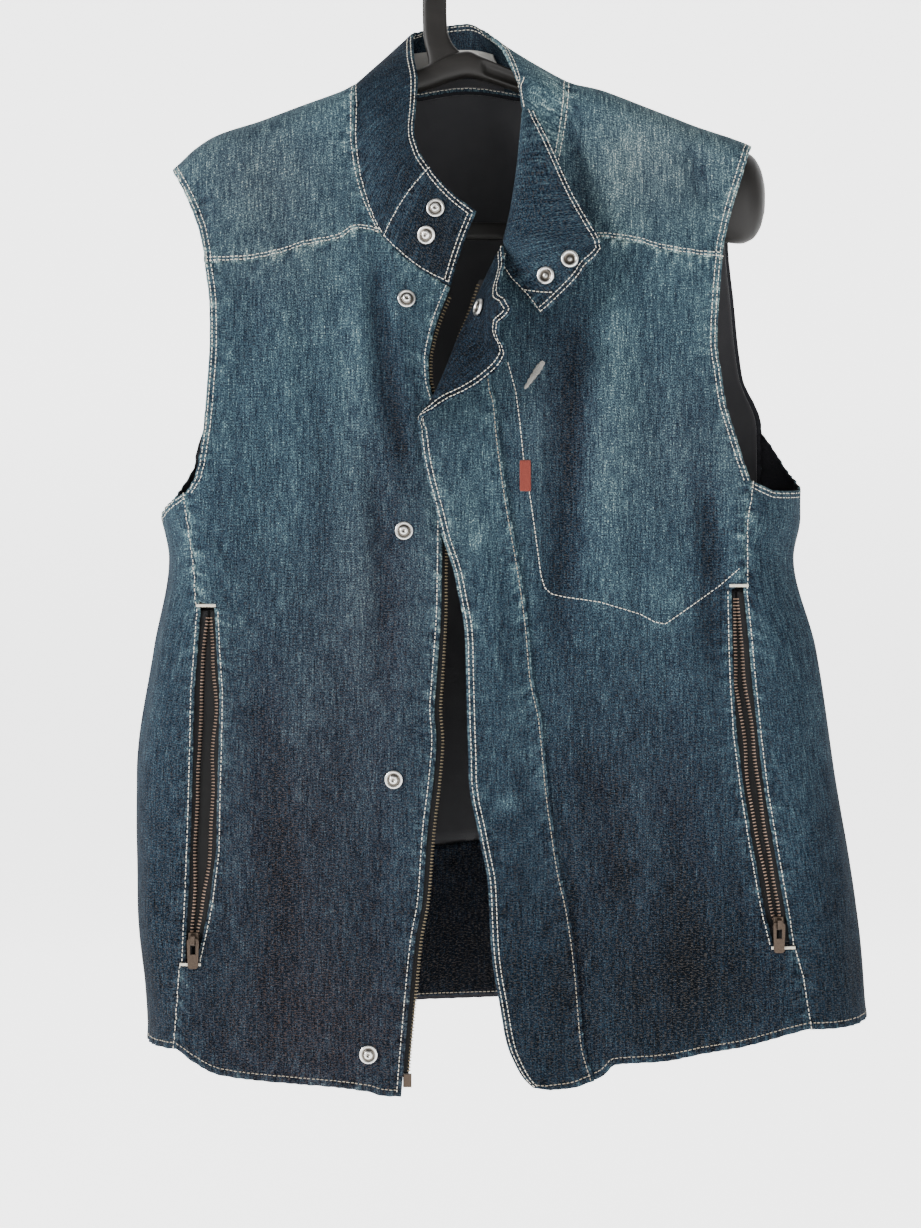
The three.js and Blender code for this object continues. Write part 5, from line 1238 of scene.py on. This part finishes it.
# The collar's pieces: where each starts and ends, its columns and its sewn edges
STATION = 29.0
COLLAR_HEIGHT = 52.0
COLLAR_ROWS = 26
COLLAR_PIECES = {
    "right_collar_tab": ((0, 0), tuple(x - COLLAR_SPLIT for x in RIGHT_TAB_SEAM), 36, ALL_EDGES),
    "collar": (tuple(x + COLLAR_SPLIT for x in RIGHT_TAB_SEAM),
               (LEFT_TAB_SEAM - COLLAR_SPLIT,) * 2, 250, "bottom top"),
    "left_collar_tab": ((LEFT_TAB_SEAM + COLLAR_SPLIT,) * 2, (COLLAR_END,) * 2, 40,
                        "right bottom top"),
}
collar_parts = {}
for node, (start, end, columns, sewn) in COLLAR_PIECES.items():
    grid = collar_grid(start, end, columns, COLLAR_ROWS)
    if node == "left_collar_tab":
        reach = (grid[..., 0] - LEFT_TAB_SEAM) / (COLLAR_END - LEFT_TAB_SEAM)
        grid[..., 0] -= end_wave(grid[..., 1]) * reach
    collar_parts[node] = make_cloth(
        node + "_cloth", node, grid, collar_form, 1, COLLAR_CLOTH, double_denim,
        out=COLLAR_CLOTH / 2, sewn=sewn, cut=grid * [STATION, COLLAR_HEIGHT],
        pucker=(0.45, 8.0, 5.0), bulge=0.7, tone=-0.24)


def collar_patch(node, stations, heights, thick, material, slot):
    """A strip sewn to the collar's inner face."""
    grid = stack(*np.meshgrid(spread(*stations, 40), spread(*heights, 12)))
    make_cloth(node + "_cloth", node, grid, collar_form, 1, thick, material,
               out=COLLAR_CLOTH / 2 + PATCH_GAP + thick, slot=slot, bulge=0.15)


PATCH_GAP = 0.7
collar_patch("neck_label", (9.3, 11.9), (0.3, 0.6), 0.8, label_cloth_painted_shade, "label")
collar_patch("hang_loop", (10.1, 11.8), (0.03, 0.15), 1.2, lining_cloth, "lining")

# Zips
BEHIND = -DENIM - TAPE_GAP
TAPE_UNDER = 9.0
RIGHT_TEETH_REACH = table("z reach", [
    [-266, 3], [-330, 2], [-458, 3.5], [-612, 5], [-766, 4.5], [-810, 4.5]])
LEFT_TEETH_REACH = 6.0
ZIP_PITCH = 2.3


def right_teeth_x(z):
    return RIGHT_FRONT_EDGE.x(z) + RIGHT_TEETH_REACH.reach(z)


def left_teeth_x(z):
    return LEFT_FRONT_EDGE.x(z) - LEFT_TEETH_REACH


def strip_grid(left, right, low, high, columns=4, step=4.0):
    """Rows of points between two curves of the height."""
    z = refined([low, high], step)
    s = spread(0, 1, columns)[None]
    a, b = left(z)[:, None], right(z)[:, None]
    return stack(a + s * (b - a), z[:, None])


def make_tape(name, node, left, right, low, high, out=BEHIND, material=tape_cloth,
              slot="zip_tape"):
    make_cloth(name, node, strip_grid(left, right, low, high), front_form, 1, TAPE, material,
               out=out, slot=slot, bulge=0.2)


TOOTH = np.array([[-1, -1, -1], [1, -0.55, -1], [1, 0.55, -1], [-1, 1, -1],
                  [-0.8, -0.8, 1], [0.75, -0.4, 1], [0.75, 0.4, 1], [-0.8, 0.8, 1]])
TOOTH_FACES = np.array([[0, 3, 2, 1], [4, 5, 6, 7], [0, 1, 5, 4], [1, 2, 6, 5], [2, 3, 7, 6],
                        [3, 0, 4, 7]])


def teeth_on(teeth_x, low, high, towards, out, reach=2.7, tall=0.95, thick=1.8):
    """A row of tapered blocks on a tape's edge, one every pitch, pointing to the other tape."""
    z = np.arange(low, high, ZIP_PITCH)
    x = teeth_x(z)
    centre = front_form(x, z)
    up = normal_of(front_form, 1, x, z)
    ahead = unit(front_form(teeth_x(z + 1), z + 1) - front_form(teeth_x(z - 1), z - 1))
    across = np.cross(ahead, up) * towards
    centre = centre + up * out
    local = TOOTH * [reach / 2, tall / 2, thick / 2]
    points = (centre[:, None] + local[None, :, :1] * across[:, None]
              + local[None, :, 1:2] * ahead[:, None] + local[None, :, 2:] * up[:, None])
    faces = TOOTH_FACES[None] + (np.arange(len(z)) * len(TOOTH))[:, None, None]
    return points.reshape(-1, 3), faces.reshape(-1, 4)


def make_teeth(name, parts, material):
    points, faces = joined(parts)
    piece = make_mesh(name, points, outward(points, faces), material)
    piece.data.shade_flat()


make_tape("right_front_tape", "right_front_zip_tape",
          lambda z: RIGHT_FRONT_EDGE.x(z) - TAPE_UNDER, right_teeth_x, -816, -268)
make_tape("left_front_tape", "left_front_zip_tape",
          left_teeth_x, lambda z: LEFT_FRONT_EDGE.x(z) + TAPE_UNDER, -804, -258)
TEETH_OUT = BEHIND - TAPE / 2
FRONT_TEETH_REACH = 2.4
make_teeth("front_zip_teeth", [
    teeth_on(right_teeth_x, -814, -270, 1, TEETH_OUT, FRONT_TEETH_REACH),
    teeth_on(left_teeth_x, -800, -260, -1, TEETH_OUT, FRONT_TEETH_REACH)], bronze)

POCKET_TEETH = {
    RIGHT: table("z side front", [
        [-498, -183.6, -180.0], [-514, -185.8, -178.8], [-528, -187, -178.3], [-556, -187.2, -176.6],
        [-584, -189.2, -178], [-612, -189.4, -178.4], [-640, -191, -179.4], [-671, -192.2, -180.8],
        [-696, -191.6, -184.6], [-716, -193.4, -188.6]]),
    LEFT: table("z front side", [
        [-486, 186, 189], [-514, 186.4, 192], [-542, 186.8, 194.2], [-556, 189.2, 195.8],
        [-584, 192.2, 200.3], [-612, 195.1, 203.4], [-647, 200.6, 207.8], [-675, 206.2, 213],
        [-703, 211.8, 217.4], [-712, 214, 217.6]]),
}
POCKETS = [("right", RIGHT, -493, -735), ("left", LEFT, -480, -724)]
POCKET_UNDER = 4.0
TEETH_HALF = 0.6
BELOW_TEETH, ABOVE_TEETH = 16, 4
SLACK = SimpleNamespace(foot=(-735, -690), top=(-530, -500), sway=0.7, wave=62, swell=41)


def slack(z, side):
    """The slack tapes sway a little between the zip's ends: a sine times a slower one."""
    ends = smooth_step(z, *SLACK.foot) * (1 - smooth_step(z, *SLACK.top))
    return (SLACK.sway * ends * np.sin(2 * math.pi * z / SLACK.wave + side)
            * np.sin(z / SLACK.swell))


pocket_teeth = []
for name, side, top, foot in POCKETS:
    bag = []
    for which, column, sign in (("front", 1, 1), ("side", 2, -1)):
        teeth = getattr(POCKET_TEETH[side], which)
        under = lambda z, c=column, k=-sign * side: seam_x(side, c, z) + k * POCKET_UNDER
        edge = lambda z, t=teeth, k=sign * side: t(z) + k * TEETH_HALF + slack(z, k)
        ends = (under, edge) if side * sign > 0 else (edge, under)
        make_tape(f"{name}_{which}_pocket_tape", f"{name}_pocket_{which}_tape", *ends, foot, top)
        pocket_teeth.append(
            teeth_on(edge, foot + BELOW_TEETH, top - ABOVE_TEETH, side * sign, TEETH_OUT))
        bag.append(under)
    make_tape(f"{name}_pocket_lining", f"{name}_pocket_bag", *bag[::side], foot, top,
              BEHIND - TAPE - LAY_GAP, pocket_cloth, "lining")
make_teeth("pocket_zip_teeth", pocket_teeth, copper)

# Snaps: a profile turned round the snap's axis
SNAP_SIDES = 40
ANY_WAY = [0.31, 0.2, 0.93]
TIP_RADIUS = 0.01
STUD = [[0, 0], [6.2, 0], [6.5, 0.3], [6.4, 0.9], [5.9, 1.25], [5.2, 1.25], [4.7, 0.95], [4.1, 0.8],
        [3.5, 0.95], [3.2, 1.2], [3.0, 2.3], [2.7, 2.9], [2.0, 3.2], [1.3, 3.1], [1.0, 2.5], [0, 2.4]]
SOCKET = [[0, 0], [6.0, 0], [6.3, 0.3], [6.2, 1.3], [5.7, 1.9], [5.0, 2.05], [4.4, 1.85], [4.0, 1.2],
          [3.5, 0.85], [1.6, 0.8], [1.3, 1.0], [0, 1.0]]


def snap_mesh(profile, place, normal, gap):
    """The profile (radius, height) carried round the normal at a point."""
    profile = np.array(profile, float)
    angle = full_turn(SNAP_SIDES)
    side = unit(np.cross(normal, ANY_WAY))
    other = np.cross(normal, side)
    around = np.cos(angle)[:, None] * side + np.sin(angle)[:, None] * other
    radius = np.maximum(profile[:, 0], TIP_RADIUS)
    points = (place + normal * gap + profile[:, 1][:, None, None] * normal
              + radius[:, None, None] * around[None])
    return points.reshape(-1, 3), skin_round(len(profile), SNAP_SIDES)[1]


# How dark each point of the profiles is, darkest in the grooves and the centre
STUD_HOLLOW = [0.2, 0, 0, 0, 0, 0.1, 0.7, 0.95, 0.95, 0.6, 0.05, 0, 0.1, 0.35, 0.9, 0.8]
SOCKET_HOLLOW = [0.2, 0, 0, 0, 0, 0, 0.15, 0.8, 0.97, 0.9, 0.45, 0.35]


def make_snaps(name, profile, hollow, form, normal, out, places):
    """Snaps in a row, numbered from 1. Each place is two coordinates on the form and the gap
    to the cloth, whose face lies out from the form."""
    for number, (p, q, gap) in enumerate(places, 1):
        p, q = np.array([p]), np.array([q])
        up = normal(p, q)[0]
        points, faces = snap_mesh(profile, form(p, q)[0] + up * out, up, gap)
        dark = np.repeat(hollow, SNAP_SIDES).astype(float)
        node = f"{name}_{number}"
        piece = make_mesh(node + "_metal", points, outward(points, faces), nickel, {"hollow": dark})
        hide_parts(node)


make_snaps("front_stud", STUD, STUD_HOLLOW, front_form,
           lambda x, z: normal_of(front_form, 1, x, z), 0,
           [[-43.7, -273, 1], [-45.1, -437, 0], [-52.1, -611, 0.35], [-69.6, -802, 0.35]])
make_snaps("collar_stud", STUD, STUD_HOLLOW, collar_form,
           lambda u, v: -collar_normal(u, v), COLLAR_CLOTH / 2, [[1.3, 0.7, 0.4], [1.32, 0.37, 0.4]])
make_snaps("collar_socket", SOCKET, SOCKET_HOLLOW, collar_form, collar_normal, COLLAR_CLOTH / 2,
           [[19.45, 0.65, 0.4], [19.55, 0.33, 0.4]])
make_snaps("placket_socket", SOCKET, SOCKET_HOLLOW, placket_form,
           lambda x, z: -normal_of(placket_form, 1, x, z), DENIM,
           [[-14, -276, 0.4], [6, -437, 0.45], [21, -623, 0.3], [52, -802, 0.3]])

# Chest tab: a loop of tape folded over, slightly puffed
TAB = SimpleNamespace(right=36.5, left=43.5, foot=-409, top=-388, thick=1.2)
tab_grid = strip_grid(lambda z: TAB.right + 0 * z, lambda z: TAB.left + 0 * z,
                      TAB.foot, TAB.top, 8, 1.5)
make_cloth("chest_tab_cloth", "chest_tab", tab_grid, front_form, 1, TAB.thick, tab_cloth,
           out=LAY_GAP + TAB.thick, slot="tab", bulge=0.5)

# Hanger
ARMS = table("x top bottom half", [
    [-197, -164, -182, 8], [-193, -159, -192, 14], [-180, -148.5, -205, 18], [-150, -138.3, -185, 18],
    [-110, -123.6, -150, 15], [-80, -112.2, -131, 12], [-37, -97, -113.5, 7.5], [-27, -92.7, -110, 7],
    [-13, -86, -105, 7], [0, -83.5, -102.3, 7], [9, -87.3, -103.8, 7], [16, -90.3, -105.8, 7],
    [27, -94.9, -109.5, 7], [40, -100, -114, 7.5], [71, -111, -126, 11], [110, -120.9, -146, 14],
    [150, -136.3, -178, 18], [185, -149.3, -222, 20], [200, -155.5, -224, 19], [208, -160, -221, 16],
    [214, -169, -213, 11], [217, -180, -202, 5]])
STEM_FOOT = -98
STEM = table("z x half", [
    [STEM_FOOT, -13, 17], [-92, -14, 15], [-85, -17.5, 12.5], [-78, -21.5, 10.2],
    [-68, -24, 9], [-56, -24.5, 8.8]])
BAR = SimpleNamespace(start=-186, end=190, top=-209, bottom=-221, half=4)
HOOK = SimpleNamespace(radius=24.5, half=8.8, tip_half=6, deep=4.2, tip_angle=-40, taper=0.4)


def loft(rings):
    """A skin through rings of points, with its ends closed by fans of quads to a midpoint."""
    count, sides = rings.shape[:2]
    points = np.concatenate([rings.reshape(-1, 3), rings[0].mean(0)[None], rings[-1].mean(0)[None]])
    at, skin = skin_round(count, sides)
    middle = count * sides
    i = np.arange(0, sides, 2)
    j, k = (i + 1) % sides, (i + 2) % sides
    start = np.stack([at[0][k], at[0][j], at[0][i], np.full(len(i), middle)], -1)
    end = np.stack([at[-1][i], at[-1][j], at[-1][k], np.full(len(i), middle + 1)], -1)
    return points, np.concatenate([skin, start, end])


def squarish(angle, power):
    """How far out a rounded square lies in a direction: (|sin|^n + |cos|^n)^(-1/n)."""
    return (np.abs(np.sin(angle)) ** power + np.abs(np.cos(angle)) ** power) ** (-1 / power)


def arm_rings():
    """Sections across the arms: a rounded oval, with a shallow trough along its face where
    the arm is a thin channel beside the hub."""
    parts = [spread(-197, -190, 10), spread(-190, 205, 158)[1:], spread(205, 217, 14)[1:]]
    x = np.concatenate(parts)[:, None]
    angle = full_turn(48)[None]
    middle, tall = (ARMS.top(x) + ARMS.bottom(x)) / 2, (ARMS.top(x) - ARMS.bottom(x)) / 2
    across, up = np.sin(angle), np.cos(angle)
    near_hub = (smooth_step(x, 9, 14) * (1 - smooth_step(x, 60, 90))
                + smooth_step(-x, 45, 55) * (1 - smooth_step(-x, 70, 90)))
    squareness = 0.75 * (1 - smooth_step(np.abs(x), 60, 110))
    round_off = 1 + squareness * (squarish(angle, 4) - 1)
    trough = 1 - 0.55 * near_hub * np.exp(-((up / 0.55) ** 4))
    return stack(x + 0 * angle, ARMS.half(x) * across * round_off * trough,
                 middle + tall * up * round_off)


def bar_rings():
    """Sections along the bar: a flat rounded rectangle."""
    x = spread(BAR.start, BAR.end, 6)[:, None]
    angle = full_turn(24)[None]
    middle, tall = (BAR.top + BAR.bottom) / 2, (BAR.top - BAR.bottom) / 2
    square = squarish(angle, 6)
    return stack(x + 0 * angle, BAR.half * np.sin(angle) * square,
                 middle + tall * np.cos(angle) * square)


def hook_rings():
    """The stem's sections, level, then the bend's, turned round the hook's centre."""
    centre_z = HOOK.half - HOOK.radius
    stem_z = spread(STEM_FOOT, centre_z, 40)[:-1]
    sweep = np.radians(spread(180, HOOK.tip_angle, 60))
    share = np.maximum(0, spread(0, 1, 60) - HOOK.taper) / (1 - HOOK.taper)
    x = np.append(STEM.x(stem_z), HOOK.radius * np.cos(sweep))
    z = np.append(stem_z, centre_z + HOOK.radius * np.sin(sweep))
    out_x = np.append(np.full(len(stem_z), -1.0), np.cos(sweep))
    out_z = np.append(np.zeros(len(stem_z)), np.sin(sweep))
    half = np.append(STEM.half(stem_z), HOOK.half + (HOOK.tip_half - HOOK.half) * share)
    angle = full_turn(32)[None]
    square = squarish(angle, 5)
    side = half[:, None] * np.cos(angle) * square
    deep = HOOK.deep * np.sin(angle) * square * np.ones_like(side)
    return stack(x[:, None] + out_x[:, None] * side, deep, z[:, None] + out_z[:, None] * side)


for node, rings in (("hanger_arms", arm_rings()), ("hanger_bar", bar_rings()),
                    ("hanger_hook", hook_rings())):
    points, faces = loft(rings)
    piece = make_mesh(node + "_plastic", points, outward(points, faces), plastic)
    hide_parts(node)

for node in ("right_pocket_slider", "left_pocket_slider", "right_pocket_pull", "left_pocket_pull",
             "zip_retainer_box"):
    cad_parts[node].data.materials.clear()
    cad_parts[node].data.materials.append(dark_metal)


# Stitching
def two_lines(panel, edge, side="outer", near=1.4, far=4.4, free=(0, 0)):
    """Two lines along an edge. At a free corner each is cut short by a share of its own
    distance from the edge, so that the lines turn the corner inside the cloth."""
    return [cut_short(line_inside(panel, edge, distance, side), *(distance * end for end in free))
            for distance in (near, far)]


def slot_share(side):
    """Where the pocket's slot begins and ends, as shares of the side seam's length."""
    seam = SIDE_SEAM[side]
    parted = np.flatnonzero(seam[:, 1] != seam[:, 2])
    levels = refined(seam[:, 0], FINE)
    low, high = seam[parted[0], 0], seam[parted[-1], 0]
    return np.interp([low, high], levels, np.linspace(0, 1, len(levels)))


TURN_AHEAD = 2.1


def turn_line(v):
    """The short line where the collar's leaf turns over, laid on the side that faces
    forwards, because the leaf's two faces are too close together there."""
    u = spread(14.97, 15.5, 20)
    ahead = np.broadcast_to([0.0, -1.0, 0.0], (len(u), 3))
    return collar_form(u, np.full(len(u), v)) + ahead * TURN_AHEAD, ahead


def collar_line(start, end):
    """A line between two places on the collar's inner face, given as (station, height)."""
    u, v = (spread(first, last, 30) for first, last in zip(start, end))
    normal = collar_normal(u, v)
    return collar_form(u, v) + normal * (COLLAR_CLOTH / 2 + 0.1), normal


cream, tan = [], []
cream += [turn_line(0.985), turn_line(0.80)]
cream += [collar_line((19.58, 0.03), (19.88, 0.27))]
for node, free in (("collar", (0, 0)), ("right_collar_tab", (1, 0)), ("left_collar_tab", (0, 1))):
    panel = collar_parts[node]
    for side in ("outer", "inner"):
        cream += two_lines(panel, "top", side, free=free)
        cream += [cut_short(line_inside(panel, "bottom", 1.6, side), 1.4 * free[0], 1.4 * free[1])]
for side in ("outer", "inner"):
    cream += two_lines(collar_parts["right_collar_tab"], "left", side, free=(0.5, 1))
    cream += [line_inside(collar_parts["right_collar_tab"], "right", 1.6, side)]
    cream += two_lines(collar_parts["left_collar_tab"], "right", side, free=(0.5, 1))
    cream += two_lines(placket, "left", side, 1.4, 4.6, free=(0.5, 1))
cream += two_lines(placket, "top", "inner", 1.4, 4.6, free=(1, 0))
tan += [line_inside(placket, "right", 2.0), cut_short(line_inside(placket, "bottom", 4.0), 4.6, 0)]
for side in (RIGHT, LEFT):
    front_panel, arm_edge, open_edge = fronts[side], OUTER_EDGE[side], MIDDLE_EDGE[side]
    seam_rows = len(refined(SIDE_SEAM[side][:, 0], FINE))
    share = seam_rows / front_panel.outer.shape[0]
    cream += [part_of(line, share, 1.0) for line in two_lines(front_panel, arm_edge)]
    cream += two_lines(yokes[side], arm_edge)
    cream += [line_inside(yokes[side], open_edge, 2.0)]
    cream += [line_inside(yokes[side], "bottom", 1.3), line_inside(yokes[side], "bottom", 3.6)]
    cream += two_lines(sides[side], "top")
    cream += [cut_short(line_inside(front_panel, open_edge, 3.0), 2.4, 0)]
    hem_line = line_inside(front_panel, "bottom", 4.5)
    tan += [cut_short(hem_line, *(0, 2.6)[::-side])]
    tan += [line_inside(sides[side], "bottom", 4.5)]
    tan += [line_inside(sides[side], "right", 1.8)]
    low, high = slot_share(side)
    cream += [part_of(line_inside(front_panel, arm_edge, 2.0), low * share, high * share)]
    cream += [line_inside(sides[side], "left", 2.0)]
BACK_SEAM_SHARE = 0.62
for edge in ("left", "right"):
    cream += [part_of(line, BACK_SEAM_SHARE, 1.0) for line in two_lines(back, edge)]
tan += [line_inside(back, "bottom", 4.5), line_inside(back, "top", 2.0)]
tan += [line_inside(facing, "bottom", 1.6, "inner")]

CHEST_POCKET = [
    [27.7, -317.6], [33.3, -338.6], [36.1, -359.6], [38.9, -387.6], [43.1, -412], [46.6, -436.6],
    [50.8, -468], [53.6, -477.2], [58.5, -481.4], [67.6, -483.5], [92.1, -487], [120.1, -495.4],
    [130.6, -501], [137.6, -502.4], [148.1, -495.4], [162.1, -485.6], [176.1, -475.8], [190, -463.2]]
cream += [on_front(0.15, CHEST_POCKET)]
BAR_TACKS = [[[-190.5, -489.5], [-176.5, -489.5]], [[-201, -739.5], [-186, -739.5]],
             [[183, -475.5], [196, -475.5]], [[211, -728], [228, -728]]]
CHEST_SLIT = [[52.9, -317.6], [39.6, -337.2]]


def slit_width(share):
    """The slit's satin stitches are longest above the middle, and a little uneven."""
    return 2.0 + 3.4 * np.sin(math.pi * share ** 0.6) + 0.5 * np.sin(37 * share)


bars = [stitches_on(on_front(0.5, ends, 0.5), pitch=0.6, length=2.4, width=0.7, high=0.9,
                    turned=True) for ends in BAR_TACKS]
satin = stitches_on(on_front(0.4, CHEST_SLIT, 1.0), pitch=0.62, length=slit_width, high=0.9,
                    turned=True)
for name, parts, material in (
        ("cream_stitches", [stitches_on(line) for line in cream] + bars, cream_thread),
        ("tan_stitches", [stitches_on(line) for line in tan], tan_thread),
        ("chest_slit_stitches", [satin], grey_thread)):
    points, faces = joined(parts)
    piece = make_mesh(name, points, outward(points, faces), material)

# The cut of each panel: width, length and flat area, and the small pieces sewn to it
CUTS = {
    "right_front": (0.196, 0.608, 0.0935, ["right_front_zip_tape", "right_pocket_front_tape"]),
    "left_front": (0.210, 0.602, 0.1046,
                   ["left_front_zip_tape", "left_pocket_front_tape", "chest_tab"]),
    "right_yoke": (0.154, 0.159, 0.0188, []),
    "left_yoke": (0.148, 0.162, 0.0198, []),
    "right_side": (0.136, 0.426, 0.0468, ["right_pocket_side_tape", "right_pocket_bag"]),
    "left_side": (0.149, 0.438, 0.0531, ["left_pocket_side_tape", "left_pocket_bag"]),
    "back": (0.490, 0.688, 0.2922, []),
    "back_lining": (0.478, 0.565, 0.2302, []),
    "back_hem_facing": (0.479, 0.116, 0.0524, []),
    "left_placket": (0.091, 0.624, 0.0313, []),
    "right_collar_tab": (0.062, 0.060, 0.0031, []),
    "collar": (0.485, 0.083, 0.0217, ["neck_label", "hang_loop"]),
    "left_collar_tab": (0.065, 0.081, 0.0027, []),
}
for node, (width, long, area, beside) in CUTS.items():
    [cloth[other] for other in beside]


# Room, light and camera
def sweep_points():
    """A pale studio sweep: the floor, a quarter circle up, then the wall, each as one strip."""
    angle = np.linspace(0, math.pi / 2, 25)
    y = np.concatenate([[-30], 3 + 1.5 * np.sin(angle), [4.5]])
    z = np.concatenate([[-1.3], -1.3 + 1.5 * (1 - np.cos(angle)), [30]])
    x = np.array([-30.0, 30.0])
    return stack(x[None], y[:, None], z[:, None])


sweep = sweep_points()
at = np.arange(sweep.shape[0] * 2).reshape(-1, 2)
strips = np.stack([at[:-1, 0], at[:-1, 1], at[1:, 1], at[1:, 0]], axis=-1)
sweep_mesh = bpy.data.meshes.new("pale_sweep")
sweep_mesh.from_pydata(sweep.reshape(-1, 3), [], strips.tolist())
sweep_mesh.shade_smooth()
pale_sweep = bpy.data.objects.new("pale_sweep", sweep_mesh)
bpy.context.scene.collection.objects.link(pale_sweep)
f = Finish("pale_paper")
speck = f.noise(f.add("ShaderNodeTexCoord").outputs["Object"], 2.0, 3)
sweep_mesh.materials.append(f.shade(
    Base_Color=f.mix(speck, (0.84, 0.84, 0.84), (0.88, 0.88, 0.88)), Roughness=0.9,
    Emission_Color=(1.0, 1.0, 1.0), Emission_Strength=2.2))

world = bpy.data.worlds.new("studio")
bpy.context.scene.world = world
world.use_nodes = True
world.node_tree.nodes["Background"].inputs["Color"].default_value = (1.0, 1.0, 1.0, 1.0)
world.node_tree.nodes["Background"].inputs["Strength"].default_value = 0.35


def soft_light(name, place, aim, size, power):
    """A square lamp that faces the point it aims at."""
    light = bpy.data.lights.new(name, "AREA")
    light.size = size
    light.energy = power
    lamp = bpy.data.objects.new(name, light)
    bpy.context.scene.collection.objects.link(lamp)
    lamp.location = place
    direction = np.array(aim) - np.array(place)
    pitch = math.atan2(math.hypot(direction[0], direction[1]), -direction[2])
    lamp.rotation_euler = (pitch, 0, math.atan2(direction[1], direction[0]) - math.pi / 2)


soft_light("key", (-2.2, -1.3, 0.5), (0, 0, -0.4), 0.9, 120)
soft_light("fill", (1.6, -2.6, -0.1), (0, 0, -0.45), 1.8, 40)

camera = bpy.data.objects.new("camera", bpy.data.cameras.new("camera"))
bpy.context.scene.collection.objects.link(camera)
camera.location = (-0.0055, -1.36, -0.4954)
camera.rotation_euler = (math.pi / 2, 0, 0)
camera.data.lens = 54.4
camera.data.sensor_width = 36
bpy.context.scene.camera = camera
